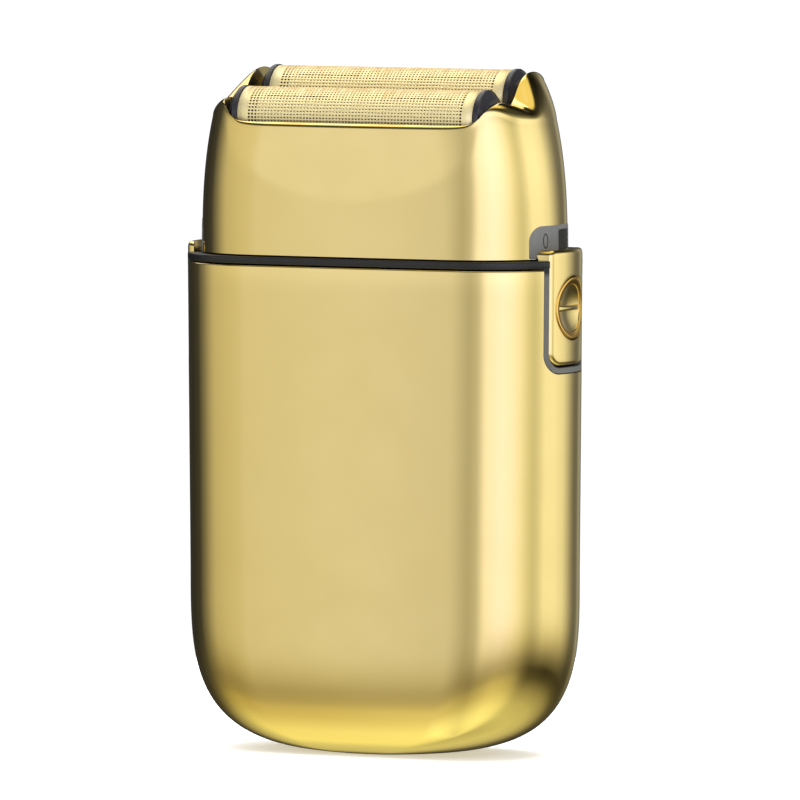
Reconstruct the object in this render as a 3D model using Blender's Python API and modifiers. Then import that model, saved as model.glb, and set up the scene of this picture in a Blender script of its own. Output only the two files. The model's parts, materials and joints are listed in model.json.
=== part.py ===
"""Twin-foil shaver: gold metal casing, lift-off foil head, side switch and the drive inside it.

Lengths are in millimetres and are turned into metres where meshes are made.
The shaver stands on its flat base at z = 0. Width runs along X, depth along Y,
the front face looks along -Y and the power switch is on the +X side.
"""
from math import cos, pi, radians, sin, sqrt

import bmesh
import bpy
from mathutils import Matrix, Vector

MM = 0.001
GAP = 0.3                        # clearance between a plate and what lies behind it
SIDE_X = (26.0, 37.0)            # range across the sides that the side cutters reach

# Casing
CASING_HALF_WIDTH = 33.75        # just above the rounded bottom
CASING_FLARE = 0.45              # extra half width at the top edge
CASING_HALF_DEPTH = 15.0
CASING_TOP = 80.1
CASING_WALL = 1.8
BOTTOM_HEIGHT = 30.0             # height of the rounding seen from the front
BOTTOM_POWER = 3.45
BOTTOM_FLAT = (14.0, 6.3)        # half width and half depth of the flat base
DEPTH_ROUND_HEIGHT = 20.0        # height of the rounding seen from the side
DEPTH_POWER = 2.9
SECTION_POWER = 2.15             # squareness of the casing's rounded sides
FACE_CROWN = 1.0                 # how far the flat faces fall away towards the sides

# Seal between casing and head, with a U-shaped leg round each side plate
SEAL_LOW = 80.3
SEAL_TOP = 81.5
SEAL_INSIDE = (29.4, 11.9)
SEAL_U_HALF = 7.4
SEAL_U_BOTTOM = 63.1
SEAL_U_CORNER = 3.3
SEAL_LEG = 0.95

# Side plates: power switch at +X, head release at -X
PLATE_HALF = 6.2
PLATE_LOW = 64.3
PLATE_TOP = 83.2
PLATE_CORNER = 2.2
PLATE_EDGE = 0.75                # rounding of the top edge
PLATE_THICK = 1.9
RELEASE_THICK = 1.1
DISC_Z = 73.6
DISC_RADIUS = 5.1
DISC_FACE = 34.1                 # distance of the disc's rim from the middle

# Foil head
HEAD_LOW = 81.75
HEAD_HALF_WIDTH = 31.5
HEAD_HALF_DEPTH = 14.1
HEAD_WALL = (1.7, 1.15)
OPENING = (24.3, 12.35, 2.6)     # half width, half depth and corner radius
FRONT_EDGE = 103.5
GUIDE_LOW = 99.2                 # the opening runs straight down to here round the foils
SHOULDER = 104.0                 # height at which the end lobes start to round over
SHOULDER_POWERS = (1.9, 1.4)     # low and high lobe: below 2, a flatter slope between tight bends
LOBE_HEIGHTS = (107.5, 111.0)    # rims between which the one power passes into the other
SCOOP_LOW = 90.8
SCOOP_HALF = 22.8
SCOOP_SLOPE = 0.045
WINDOW_HALF = 7.0
WINDOW_TOP = 87.1
WINDOW_THICK = 1.3

# Foils: the pair of arches leans forward by FOIL_TILT
FOIL_TILT = radians(14.0)
FOIL_RADIUS = 4.6
FOIL_SHEET = 0.25
FOIL_SKIRT = 1.6
FOIL_HALF_LENGTH = 21.1
FOIL_CENTRE = (-7.0, 104.3)      # y and z of the front arch's axis
FOIL_PITCH = 12.3
HOLDER_ARCH = 4.85
HOLDER_SKIRT = 5.15
HOLDER_DEPTH = 3.2
HOLDER_END = (21.35, 22.6)

# Cutters, their carriers and the drive
CUTTER_HALF = (19.8, 3.6, 4.1)   # half length, half width and height
CUTTER_BASE = 1.0
CUTTER_SLOTS = 15
SLOT_WIDTH = 1.1
CARRIER = (12.0, 2.3, -4.2, -0.4)
PIN_RADIUS = 1.0
PIN_RANGE = (-9.2, -2.6)
SPRING_RANGE = (-8.4, -4.8)
SPRING_TURNS = 4
ECCENTRICITY = 0.8
CAM_RADIUS = 2.2
FRONT_ARM_Z = (86.1, 88.1)
REAR_ARM_Z = (88.7, 90.7)
FORK_INSIDE = 3.9                # leaves room for the cam's throw and the arm's stroke together
ARM_NEAR = 3.3                   # clears the cam's highest reach, CAM_RADIUS + ECCENTRICITY

# Colours are linear; each finish is colour, roughness, metallic
FINISH = {
    "gold": ((0.91, 0.66, 0.28), 0.12, 1.0),
    "bright_gold": ((0.95, 0.62, 0.18), 0.10, 1.0),
    "foil_gold": ((0.85, 0.60, 0.25), 0.30, 1.0),
    "black_rubber": ((0.03, 0.03, 0.035), 0.55, 0.0),
    "dark_plastic": ((0.05, 0.05, 0.055), 0.35, 0.0),
    "grey_plastic": ((0.17, 0.17, 0.17), 0.40, 0.0),
    "white_plastic": ((0.75, 0.75, 0.72), 0.45, 0.0),
    "steel": ((0.60, 0.60, 0.60), 0.25, 1.0),
    "nickel": ((0.70, 0.68, 0.62), 0.30, 1.0),
    "cell_wrap": ((0.05, 0.18, 0.45), 0.40, 0.0),
    "board_green": ((0.02, 0.20, 0.08), 0.45, 0.0),
    "foam": ((0.10, 0.10, 0.10), 0.90, 0.0),
    "clear_lens": ((0.85, 0.90, 0.95), 0.10, 0.0),
}


# ---------------------------------------------------------------- building blocks

def clear_scene():
    for obj in list(bpy.data.objects):
        bpy.data.objects.remove(obj)


def new_collection(name):
    group = bpy.data.collections.new(name)
    bpy.context.scene.collection.children.link(group)
    return group


def finish_material(name, finish):
    colour, roughness, metallic = FINISH[finish]
    material = bpy.data.materials.new(name)
    material.use_nodes = True
    shader = material.node_tree.nodes["Principled BSDF"]
    shader.inputs["Base Color"].default_value = (*colour, 1.0)
    shader.inputs["Roughness"].default_value = roughness
    shader.inputs["Metallic"].default_value = metallic
    return material


def add_part(obj, finish):
    PARTS.objects.link(obj)
    obj.data.materials.append(finish_material(obj.name, finish))
    return obj


def add_cutter(obj):
    CUTTERS.objects.link(obj)
    obj.hide_render = True
    obj.display_type = "WIRE"
    return obj


def mesh_object(name, bm):
    bmesh.ops.scale(bm, vec=(MM, MM, MM), verts=bm.verts)
    mesh = bpy.data.meshes.new(name)
    bm.to_mesh(mesh)
    bm.free()
    mesh.shade_smooth()
    mesh.set_sharp_from_angle(angle=radians(35))
    return bpy.data.objects.new(name, mesh)


def loft(name, rings, ends="caps"):
    """Skin through rings with equally many points; "caps" closes the ends, "tube" joins them."""
    bm = bmesh.new()
    rows = [[bm.verts.new(point) for point in ring] for ring in rings]
    count = len(rows[0])
    pairs = list(zip(rows, rows[1:]))
    if ends == "tube":
        pairs.append((rows[-1], rows[0]))
    for low, high in pairs:
        for i in range(count):
            j = (i + 1) % count
            bm.faces.new((low[i], low[j], high[j], high[i]))
    if ends == "caps":
        bm.faces.new(list(reversed(rows[0])))
        bm.faces.new(rows[-1])
    return mesh_object(name, bm)


def prism(name, outline, low, high, axis="X"):
    """Flat outline extruded along an axis; for "X" its points are (y, z), for "Z" (x, y)."""
    bm = bmesh.new()
    if axis == "X":
        verts = [bm.verts.new((low, p, q)) for p, q in outline]
        move = (high - low, 0, 0)
    else:
        verts = [bm.verts.new((p, q, low)) for p, q in outline]
        move = (0, 0, high - low)
    face = bm.faces.new(verts)
    extruded = bmesh.ops.extrude_face_region(bm, geom=[face])["geom"]
    moved = [item for item in extruded if isinstance(item, bmesh.types.BMVert)]
    bmesh.ops.translate(bm, vec=move, verts=moved)
    bmesh.ops.recalc_face_normals(bm, faces=bm.faces)
    return mesh_object(name, bm)


def box(name, low, high):
    """Box from its lowest to its highest corner."""
    bm = bmesh.new()
    size = [h - l for l, h in zip(low, high)]
    centre = [(h + l) / 2 for l, h in zip(low, high)]
    matrix = Matrix.Translation(centre) @ Matrix.Diagonal((*size, 1.0))
    bmesh.ops.create_cube(bm, size=1.0, matrix=matrix)
    return mesh_object(name, bm)


def rod(name, radius, start, end, sides=16):
    """Round bar between two points."""
    start, end = Vector(start), Vector(end)
    turn = (end - start).to_track_quat("Z", "Y").to_matrix().to_4x4()
    bm = bmesh.new()
    bmesh.ops.create_cone(bm, cap_ends=True, segments=sides, radius1=radius, radius2=radius,
                          depth=(end - start).length,
                          matrix=Matrix.Translation((start + end) / 2) @ turn)
    return mesh_object(name, bm)


def turned(name, profile, steps=24):
    """Solid of revolution about Z; the profile runs from the top's middle down the outside."""
    bm = bmesh.new()
    verts = [bm.verts.new((radius, 0, height)) for radius, height in profile]
    for upper, lower in zip(verts, verts[1:]):
        bm.edges.new((upper, lower))
    obj = mesh_object(name, bm)
    screw = obj.modifiers.new("Turn", "SCREW")
    screw.axis = "Z"
    screw.angle = 2 * pi
    screw.steps = steps
    screw.render_steps = steps
    screw.use_merge_vertices = True
    screw.merge_threshold = 0.00002
    screw.use_smooth_shade = True
    return obj


def place(obj, x=0.0, y=0.0, z=0.0, rotation=(0.0, 0.0, 0.0)):
    obj.location = (x * MM, y * MM, z * MM)
    obj.rotation_euler = rotation
    return obj


def combine(obj, other, operation):
    modifier = obj.modifiers.new(operation.title(), "BOOLEAN")
    modifier.operation = operation
    modifier.object = other
    return obj


def cut(obj, *tools):
    for tool in tools:
        combine(obj, tool, "DIFFERENCE")
    return obj


def fuse(obj, *others):
    for other in others:
        combine(obj, other, "UNION")
    return obj


# ---------------------------------------------------------------- outlines

def section(half_width, half_depth, z, power=SECTION_POWER, side_steps=8, face_steps=4):
    """Oval ring at height z: flat faces front and rear, rounded sides, as deep as it is round."""
    corner = min(half_depth, half_width)
    straight = half_width - corner
    quarter = []
    for k in range(side_steps + 1):
        angle = pi / 2 * k / side_steps
        quarter.append((straight + corner * max(cos(angle), 0.0) ** (2 / power),
                        half_depth * sin(angle) ** (2 / power)))
    for k in range(1, face_steps + 1):
        quarter.append((straight * (1 - k / face_steps), half_depth))
    crown = FACE_CROWN * half_depth / CASING_HALF_DEPTH
    quarter = [(x, y - crown * (x / half_width) ** 2 * y / half_depth) for x, y in quarter]
    half = quarter + [(-x, y) for x, y in reversed(quarter[:-1])]
    ring = half + [(-x, -y) for x, y in half[1:-1]]
    return [(x, y, z) for x, y in ring]


def rounded_rectangle(half_width, half_depth, corner, steps=3):
    """Outline with round corners, counter-clockwise from the right side."""
    points = []
    for quadrant in range(4):
        sx = 1 if quadrant in (0, 3) else -1
        sy = 1 if quadrant in (0, 1) else -1
        for k in range(steps + 1):
            angle = pi / 2 * (quadrant + k / steps)
            points.append((sx * (half_width - corner) + corner * cos(angle),
                           sy * (half_depth - corner) + corner * sin(angle)))
    return points


def u_outline(half, bottom, top, corner, steps=4):
    """Rectangle with round lower corners, as (y, z) points."""
    points = [(half, top), (-half, top)]
    for side, first in ((-1, pi), (1, 1.5 * pi)):
        for k in range(steps + 1):
            angle = first + pi / 2 * k / steps
            points.append((side * (half - corner) + corner * cos(angle),
                           bottom + corner + corner * sin(angle)))
    return points


def arch_outline(radius, skirt_half, skirt, steps=14):
    """Arch over a skirt, as (y, z) points about the arch's centre."""
    points = [(radius * cos(pi * k / steps), radius * sin(pi * k / steps)) for k in range(steps + 1)]
    if skirt_half > radius:
        step = -0.4
        points += [(-radius, step), (-skirt_half, step), (-skirt_half, -skirt)]
        points += [(skirt_half, -skirt), (skirt_half, step), (radius, step)]
    else:
        points += [(-radius, -skirt), (radius, -skirt)]
    return points


# ---------------------------------------------------------------- casing form

def casing_half_width(z):
    if z >= BOTTOM_HEIGHT:
        return CASING_HALF_WIDTH + CASING_FLARE * (z - BOTTOM_HEIGHT) / (CASING_TOP - BOTTOM_HEIGHT)
    fall = (BOTTOM_HEIGHT - z) / BOTTOM_HEIGHT
    return max(CASING_HALF_WIDTH * (1 - fall ** BOTTOM_POWER) ** (1 / BOTTOM_POWER), BOTTOM_FLAT[0])


def casing_half_depth(z):
    if z >= DEPTH_ROUND_HEIGHT:
        return CASING_HALF_DEPTH
    fall = (DEPTH_ROUND_HEIGHT - z) / DEPTH_ROUND_HEIGHT
    growth = (1 - fall ** DEPTH_POWER) ** (1 / DEPTH_POWER)
    return BOTTOM_FLAT[1] + (CASING_HALF_DEPTH - BOTTOM_FLAT[1]) * growth


def side_range(side):
    """Lowest and highest X that a cutter covers on one side."""
    return tuple(sorted(side * x for x in SIDE_X))


def casing_ring(z, inset=0.0, height=None):
    """Ring of the casing's outer form, moved inwards by inset."""
    return section(casing_half_width(z) - inset, casing_half_depth(z) - inset,
                   z if height is None else height)


def make_casing():
    levels = [0.0, 0.4, 1.2, 2.6, 4.6, 7.4, 11.0, 15.5, 21.0, 30.0, 56.0, CASING_TOP]
    outer = [casing_ring(z) for z in levels]
    inner = [casing_ring(z, CASING_WALL) for z in reversed(levels[3:])]
    casing = loft("main_casing", outer + inner)
    notch = u_outline(SEAL_U_HALF + 0.2, SEAL_U_BOTTOM - 0.2, CASING_TOP + 2, SEAL_U_CORNER)
    for side in (-1, 1):
        cut(casing, add_cutter(prism("casing_notch_%d" % side, notch, *side_range(side))))
    cut(casing,
        add_cutter(prism("casing_port_hole", rounded_rectangle(5.5, 2.6, 2.5), -1.0, 4.0, "Z")),
        add_cutter(rod("casing_light_hole", 1.0, (8.6, 0, -1), (8.6, 0, 4))))
    add_part(casing, "gold")


def make_seal():
    """Flat ring under the head with a U-shaped leg down each side, slotted for the plates."""
    outer = [casing_ring(CASING_TOP, 0.0, z) for z in (SEAL_LOW, SEAL_TOP)]
    inner = [section(*SEAL_INSIDE, z) for z in (SEAL_TOP, SEAL_LOW)]
    seal = loft("seal_band", outer + inner, "tube")
    leg_levels = (SEAL_U_BOTTOM - 1, 72.0, SEAL_TOP)
    leg_form = loft("seal_leg_form", [casing_ring(min(z, CASING_TOP), 0.0, z) for z in leg_levels]
                    + [casing_ring(min(z, CASING_TOP), 2.0, z) for z in reversed(leg_levels)], "tube")
    slot_levels = (SEAL_U_BOTTOM - 2, SEAL_TOP + 2)
    slot_form = loft("seal_slot_form", [casing_ring(CASING_TOP, -1.5, z) for z in slot_levels]
                     + [casing_ring(CASING_TOP, PLATE_THICK + GAP, z) for z in reversed(slot_levels)],
                     "tube")
    add_cutter(leg_form)
    add_cutter(slot_form)
    slot_size = (SEAL_U_HALF - SEAL_LEG, SEAL_U_BOTTOM + SEAL_LEG)
    outside = u_outline(SEAL_U_HALF, SEAL_U_BOTTOM, SEAL_TOP, SEAL_U_CORNER)
    slot_outline = u_outline(*slot_size, SEAL_TOP + 3, SEAL_U_CORNER - SEAL_LEG)
    below_outline = u_outline(*slot_size, SEAL_LOW, SEAL_U_CORNER - SEAL_LEG)
    for side in (-1, 1):
        leg = add_cutter(prism("seal_leg_%d" % side, outside, *side_range(side)))
        slot = add_cutter(prism("seal_slot_%d" % side, slot_outline, *side_range(side)))
        below = add_cutter(prism("seal_inside_%d" % side, below_outline, *side_range(side)))
        fuse(seal, combine(leg, leg_form, "INTERSECT"))
        cut(seal, combine(slot, slot_form, "INTERSECT"), below)
    add_part(seal, "black_rubber")


# ---------------------------------------------------------------- side plates

def plate_form(name, side, thick):
    """Sleeve that follows the casing's side, from which a plate is taken."""
    straight_top = PLATE_TOP - PLATE_EDGE
    levels = (PLATE_LOW - 1, 72.0, straight_top)
    outer = [casing_ring(min(z, CASING_TOP), 0.0, z) for z in levels]
    for k in (1, 2, 3):
        angle = pi / 2 * k / 3
        outer.append(casing_ring(CASING_TOP, PLATE_EDGE * (1 - cos(angle)),
                                 straight_top + PLATE_EDGE * sin(angle)))
    inner = [casing_ring(min(z, CASING_TOP), thick, z) for z in (PLATE_TOP, *reversed(levels))]
    form = add_cutter(loft(name + "_form", outer + inner, "tube"))
    outline = u_outline(PLATE_HALF, PLATE_LOW, PLATE_TOP + 1, PLATE_CORNER)
    return combine(prism(name, outline, *side_range(side)), form, "INTERSECT")


def thumb_disc(name, side, ridged):
    """Bevelled ring round a shallow dish, with a ridge across the switch's dish."""
    rim = DISC_RADIUS
    profile = [(0, -1.15), (1.6, -1.05), (2.9, -0.7), (3.7, -0.2), (4.0, 0.0), (4.5, -0.05),
               (4.9, -0.3), (rim, -0.7), (rim, -1.9), (0, -1.9)]
    disc = turned(name, profile)
    disc.rotation_euler = (0, side * pi / 2, 0)
    disc.location = (side * DISC_FACE * MM, 0, DISC_Z * MM)
    if ridged:
        ridge = add_cutter(box(name + "_ridge", (-0.45, -3.6, -1.6), (0.45, 3.6, -0.25)))
        ridge.rotation_euler = disc.rotation_euler
        ridge.location = disc.location
        fuse(disc, ridge)
    return disc


def disc_hole(name, side):
    """Cutter for the round hole that a thumb disc sits in."""
    low, high = side_range(side)
    return add_cutter(rod(name, DISC_RADIUS + 0.25, (low, 0, DISC_Z), (high, 0, DISC_Z), 24))


def make_power_switch():
    plate = plate_form("power_switch_plate", 1, PLATE_THICK)
    add_part(cut(plate, disc_hole("switch_disc_hole", 1)), "gold")
    add_part(thumb_disc("switch_thumb_disc", 1, True), "bright_gold")
    add_part(box("switch_carriage", (27.6, -4.4, 66.5), (30.6, 4.4, 75.5)), "dark_plastic")
    add_part(box("switch_body", (20.5, -3.2, 62.0), (26.8, 3.2, 71.0)), "dark_plastic")


def make_release():
    plate = plate_form("release_button_plate", -1, RELEASE_THICK)
    add_part(cut(plate, disc_hole("release_disc_hole", -1)), "gold")
    add_part(thumb_disc("release_thumb_disc", -1, False), "bright_gold")
    add_part(box("release_latch", (-31.0, -3.5, 66.5), (-27.8, 3.5, 76.4)), "dark_plastic")
    add_part(box("release_spring", (-26.3, -3.0, 66.8), (-25.9, 3.0, 76.0)), "steel")


# ---------------------------------------------------------------- foil head

def head_half_width(z):
    t = (z - 82.0) / 27.0
    return HEAD_HALF_WIDTH - 0.5 * t - 3.15 * max(t, 0.0) ** 2.8


def head_half_depth(z):
    return HEAD_HALF_DEPTH - 0.35 * (z - 82.0) / 22.0


def head_power(z):
    """The head's sides get squarer towards the foils."""
    return SECTION_POWER + 0.2 * min(max((z - 82.0) / 22.0, 0.0), 1.0)


def arch_height(y, centre, half, base, rise):
    """Superellipse arch, falling away steeply beside it."""
    reach = abs(y - centre) / half
    if reach >= 1.0:
        return base - 4.0 * rise * (reach - 1.0)
    return base + rise * (1 - reach ** 2.2) ** (1 / 2.2)


def smooth_step(value, low, high):
    """0 below low, 1 above high and an S-curve between them."""
    share = min(max((value - low) / (high - low), 0.0), 1.0)
    return share * share * (3 - 2 * share)


def rim_height(x, y):
    """Height of the rim: a low lobe over the front foil's ends, a high one over the rear's."""
    front = arch_height(y, -7.2, 6.4 if y < -7.2 else 7.0, 101.0, 6.15)
    rear = arch_height(y, 5.0, 7.6, 104.5, 7.2)
    blend = 1.0
    height = max((front + rear + sqrt((front - rear) ** 2 + blend ** 2)) / 2, FRONT_EDGE)
    if y > 0:
        return height
    corner_start = OPENING[0] - OPENING[2]
    return FRONT_EDGE + (height - FRONT_EDGE) * smooth_step(abs(x), corner_start, corner_start + 2.2)


def shoulder_height(rim, width):
    """Where the rounding under the rim starts: close under a thin wall, low down on the end lobes."""
    thin = rim - 0.45 - 0.6 * min(width, 2.0)
    return thin + (min(SHOULDER, thin) - thin) * smooth_step(width, 1.5, 3.5)


def shoulder_power(rim):
    """Roundness of the bend between the wall and a rim of this height."""
    low, high = SHOULDER_POWERS
    return low + (high - low) * smooth_step(rim, *LOBE_HEIGHTS)


def opening_point(x, y):
    """Nearest point of the foil opening to a point of the head's outline."""
    half_width, half_depth, corner = OPENING
    reach_x, reach_y = half_width - corner, half_depth - corner
    ax, ay = abs(x), abs(y)
    if ax > reach_x and ay > 0.0:
        ay = min(ay * half_depth / head_half_depth(FRONT_EDGE), half_depth)
    dx, dy = max(ax - reach_x, 0.0), max(ay - reach_y, 0.0)
    length = sqrt(dx * dx + dy * dy)
    if dx > 0 and dy > 0:
        qx, qy = reach_x + corner * dx / length, reach_y + corner * dy / length
    elif dx > 0:
        qx, qy = half_width, ay
    else:
        qx, qy = ax, half_depth
    return (qx if x > 0 else -qx), (qy if y > 0 else -qy)


def scoop_depth(x, z):
    """The front face leans in above an arc that hangs from the front edge's ends."""
    if abs(x) >= SCOOP_HALF:
        return 0.0
    arc = SCOOP_LOW + (FRONT_EDGE - SCOOP_LOW) * (1 - sqrt(1 - (x / SCOOP_HALF) ** 2))
    return SCOOP_SLOPE * max(z - arc, 0.0)


def head_point(index, z):
    """Point of the head's outer form on outline position index at height z."""
    ring = section(head_half_width(z), head_half_depth(z), z, head_power(z), 12, 6)
    x, y, _ = ring[index]
    if y < 0:
        y = min(y + scoop_depth(x, min(z, FRONT_EDGE)), 0.0)
    return x, y


def make_head_casing():
    count = len(section(1.5, 1.0, 0.0, 2.0, 12, 6))
    columns = []
    for index in range(count):
        top_x, top_y = head_point(index, FRONT_EDGE)
        rim_x, rim_y = opening_point(top_x, top_y)
        rim = rim_height(rim_x, rim_y)
        shoulder = shoulder_height(rim, sqrt((top_x - rim_x) ** 2 + (top_y - rim_y) ** 2))
        power = shoulder_power(rim)
        column = []
        for k in range(7):
            z = HEAD_LOW + (shoulder - HEAD_LOW) * k / 6
            column.append((*head_point(index, z), z))
        start_x, start_y, _ = column[-1]
        for k in range(1, 5):
            angle = pi / 2 * k / 4
            share = 1 - max(cos(angle), 0.0) ** (2 / power)
            column.append((start_x + (rim_x - start_x) * share, start_y + (rim_y - start_y) * share,
                           shoulder + (rim - shoulder) * sin(angle) ** (2 / power)))
        column.append((rim_x, rim_y, GUIDE_LOW))
        for z in (GUIDE_LOW - 2.2, 92.0, HEAD_LOW):
            inner = section(head_half_width(z) - HEAD_WALL[0], head_half_depth(z) - HEAD_WALL[1],
                            z, head_power(z), 12, 6)
            x, y, _ = inner[index]
            if y < 0:
                y = min(y + scoop_depth(x, z), 0.0)
            column.append((x, y, z))
        columns.append(column)
    rings = [list(ring) for ring in zip(*columns)]
    casing = loft("head_casing", rings, "tube")
    for side in (-1, 1):
        low, high = side_range(side)
        cut(casing, add_cutter(box("window_hole_%d" % side, (low, -WINDOW_HALF - GAP, HEAD_LOW - 5),
                                   (high, WINDOW_HALF + GAP, WINDOW_TOP + 0.4))))
    add_part(casing, "gold")


def make_windows():
    """Grey inserts low on the head's sides, which the plates slide over."""
    for name, side in (("switch_window", 1), ("release_window", -1)):
        levels = (HEAD_LOW + 0.1, 84.5, WINDOW_TOP)
        outer = [section(head_half_width(z), head_half_depth(z), z, head_power(z)) for z in levels]
        inner = [section(head_half_width(z) - WINDOW_THICK, head_half_depth(z) - WINDOW_THICK, z,
                         head_power(z)) for z in reversed(levels)]
        form = add_cutter(loft(name + "_form", outer + inner, "tube"))
        low, high = side_range(side)
        insert = box(name, (low, -WINDOW_HALF, HEAD_LOW - 1), (high, WINDOW_HALF, WINDOW_TOP + 1))
        add_part(combine(insert, form, "INTERSECT"), "grey_plastic")


def make_foil_frame():
    """Rigid ring inside the head that carries both floating foil holders."""
    low, high = 93.4, 96.2
    outer = [section(head_half_width(z) - 2.3, 11.75, z, 2.6) for z in (low, high)]
    hole = rounded_rectangle(21.9, 11.0, 1.5)
    frame = loft("foil_frame", outer)
    add_part(cut(frame, add_cutter(prism("foil_frame_hole", hole, low - 1, high + 1, "Z"))),
             "dark_plastic")


def foil_place(which):
    """Location of an arch's axis: 0 is the front foil, 1 the rear."""
    return (0.0, FOIL_CENTRE[0] + which * FOIL_PITCH * cos(FOIL_TILT),
            FOIL_CENTRE[1] + which * FOIL_PITCH * sin(FOIL_TILT))


def tilted(obj, which):
    return place(obj, *foil_place(which), (FOIL_TILT, 0.0, 0.0))


def make_foil(which, label):
    """Thin arched sheet and the dark holder that frames its ends and its skirts."""
    bm = bmesh.new()
    steps = 16
    arc = [(FOIL_RADIUS * cos(pi * k / steps), FOIL_RADIUS * sin(pi * k / steps))
           for k in range(steps + 1)]
    line = [(FOIL_RADIUS, -FOIL_SKIRT)] + arc + [(-FOIL_RADIUS, -FOIL_SKIRT)]
    ends = [[bm.verts.new((x, y, z)) for y, z in line] for x in (-FOIL_HALF_LENGTH, FOIL_HALF_LENGTH)]
    for k in range(len(line) - 1):
        bm.faces.new((ends[0][k + 1], ends[1][k + 1], ends[1][k], ends[0][k]))
    foil = mesh_object("foil_" + label, bm)
    sheet = foil.modifiers.new("Sheet", "SOLIDIFY")
    sheet.thickness = FOIL_SHEET * MM
    sheet.offset = -1.0
    add_part(tilted(foil, which), "foil_gold")

    holder_outline = arch_outline(HOLDER_ARCH, HOLDER_SKIRT, HOLDER_DEPTH)
    near, far = HOLDER_END
    holder = prism("foil_holder_" + label, holder_outline, -far, -near)
    other_end = prism("holder_end_" + label, holder_outline, near, far)
    rails = []
    for side in (-1, 1):
        low, high = side_span(side, FOIL_RADIUS + 0.2, HOLDER_SKIRT)
        rails.append(box("holder_rail_%s_%d" % (label, side + 1),
                         (-near - 0.5, low, -HOLDER_DEPTH), (near + 0.5, high, -0.4)))
    for piece in [other_end] + rails:
        tilted(add_cutter(piece), which)
    add_part(tilted(fuse(holder, rails[0], rails[1], other_end), which), "dark_plastic")


# ---------------------------------------------------------------- cutters and drive

def side_span(side, near, far):
    """Two distances from the middle, on one side of it, as a low and a high coordinate."""
    return tuple(sorted((side * near, side * far)))


def make_cutter(which, label):
    """Comb of arched blades on a sprung carrier."""
    length, half, height = CUTTER_HALF
    steps = 10
    outline = [(half * cos(pi * k / steps), height * sin(pi * k / steps)) for k in range(steps + 1)]
    cutter = prism("cutter_" + label, outline, -length, length)
    bm = bmesh.new()
    for k in range(CUTTER_SLOTS):
        x = (k - (CUTTER_SLOTS - 1) / 2) * 2 * length / (CUTTER_SLOTS + 1)
        matrix = (Matrix.Translation((x, 0, CUTTER_BASE + height / 2 + 0.5))
                  @ Matrix.Diagonal((SLOT_WIDTH, 4 * half, height + 1, 1.0)))
        bmesh.ops.create_cube(bm, size=1.0, matrix=matrix)
    slots = mesh_object("cutter_slots_" + label, bm)
    cut(cutter, tilted(add_cutter(slots), which))
    add_part(tilted(cutter, which), "steel")

    half_length, half_width, low, high = CARRIER
    carrier = box("cutter_carrier_" + label, (-half_length, -half_width, low),
                  (half_length, half_width, high))
    socket = rod("carrier_socket_" + label, PIN_RADIUS + 0.3, (0, 0, low - 1), (0, 0, high - 0.5))
    cut(carrier, tilted(add_cutter(socket), which))
    add_part(tilted(carrier, which), "white_plastic")
    make_spring(which, label)


def make_spring(which, label):
    low, high = SPRING_RANGE
    radius, wire, per_turn = 1.65, 0.22, 10
    curve = bpy.data.curves.new("cutter_spring_" + label, "CURVE")
    curve.dimensions = "3D"
    curve.bevel_depth = wire * MM
    curve.bevel_resolution = 1
    curve.use_fill_caps = True
    points = SPRING_TURNS * per_turn + 1
    spline = curve.splines.new("POLY")
    spline.points.add(points - 1)
    for k, point in enumerate(spline.points):
        angle = 2 * pi * k / per_turn
        height = low + wire + (high - low - 2 * wire) * k / (points - 1)
        point.co = (radius * cos(angle) * MM, radius * sin(angle) * MM, height * MM, 1.0)
    add_part(tilted(bpy.data.objects.new("cutter_spring_" + label, curve), which), "steel")


def make_drive_arm(which, label, levels, riser_y, riser_top):
    """Plate with a fork round its eccentric, and a riser that ends in the carrier's tilted pin."""
    side = -1 if which == 0 else 1
    low, high = levels
    arm_y = side_span(side, ARM_NEAR, 10.3)
    wing_y = side_span(side, 6.2, 10.2)
    arm = box("drive_arm_" + label, (-6.4, arm_y[0], low), (6.4, arm_y[1], high))
    pieces = [box("arm_wing_" + label, (-13.0, wing_y[0], low + 0.1), (13.0, wing_y[1], high - 0.1)),
              box("arm_riser_" + label, (-2.5, riser_y[0], high - 0.5), (2.5, riser_y[1], riser_top))]
    finger_y = side_span(side, -2.4, ARM_NEAR + 0.6)
    for end in (-1, 1):
        finger_x = side_span(end, FORK_INSIDE, 6.2)
        pieces.append(box("arm_finger_%s_%d" % (label, end), (finger_x[0], finger_y[0], low + 0.1),
                          (finger_x[1], finger_y[1], high - 0.1)))
    head = box("arm_riser_head_" + label, (-2.4, -2.2, -11.5), (2.4, 2.2, PIN_RANGE[0] + 0.2))
    pin = rod("arm_pin_" + label, PIN_RADIUS, (0, 0, PIN_RANGE[0] - 1), (0, 0, PIN_RANGE[1]))
    pieces += [tilted(head, which), tilted(pin, which)]
    add_part(fuse(arm, *[add_cutter(piece) for piece in pieces]), "white_plastic")


def make_rotor():
    shaft = rod("motor_shaft", 1.0, (0, 0, 43.5), (0, 0, 91.2), 16)
    add_part(shaft, "steel")
    cam = rod("eccentric_cam", 2.0, (0, 0, 85.2), (0, 0, 91.0), 20)
    lower = rod("cam_lower", CAM_RADIUS, (ECCENTRICITY, 0, 86.3), (ECCENTRICITY, 0, 88.0), 20)
    upper = rod("cam_upper", CAM_RADIUS, (-ECCENTRICITY, 0, 88.8), (-ECCENTRICITY, 0, 90.6), 20)
    bore = rod("cam_bore", 1.25, (0, 0, 84.0), (0, 0, 92.0), 16)
    for piece in (lower, upper):
        fuse(cam, add_cutter(piece))
    cut(cam, add_cutter(bore))
    add_part(cam, "nickel")


# ---------------------------------------------------------------- inside the casing

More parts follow.
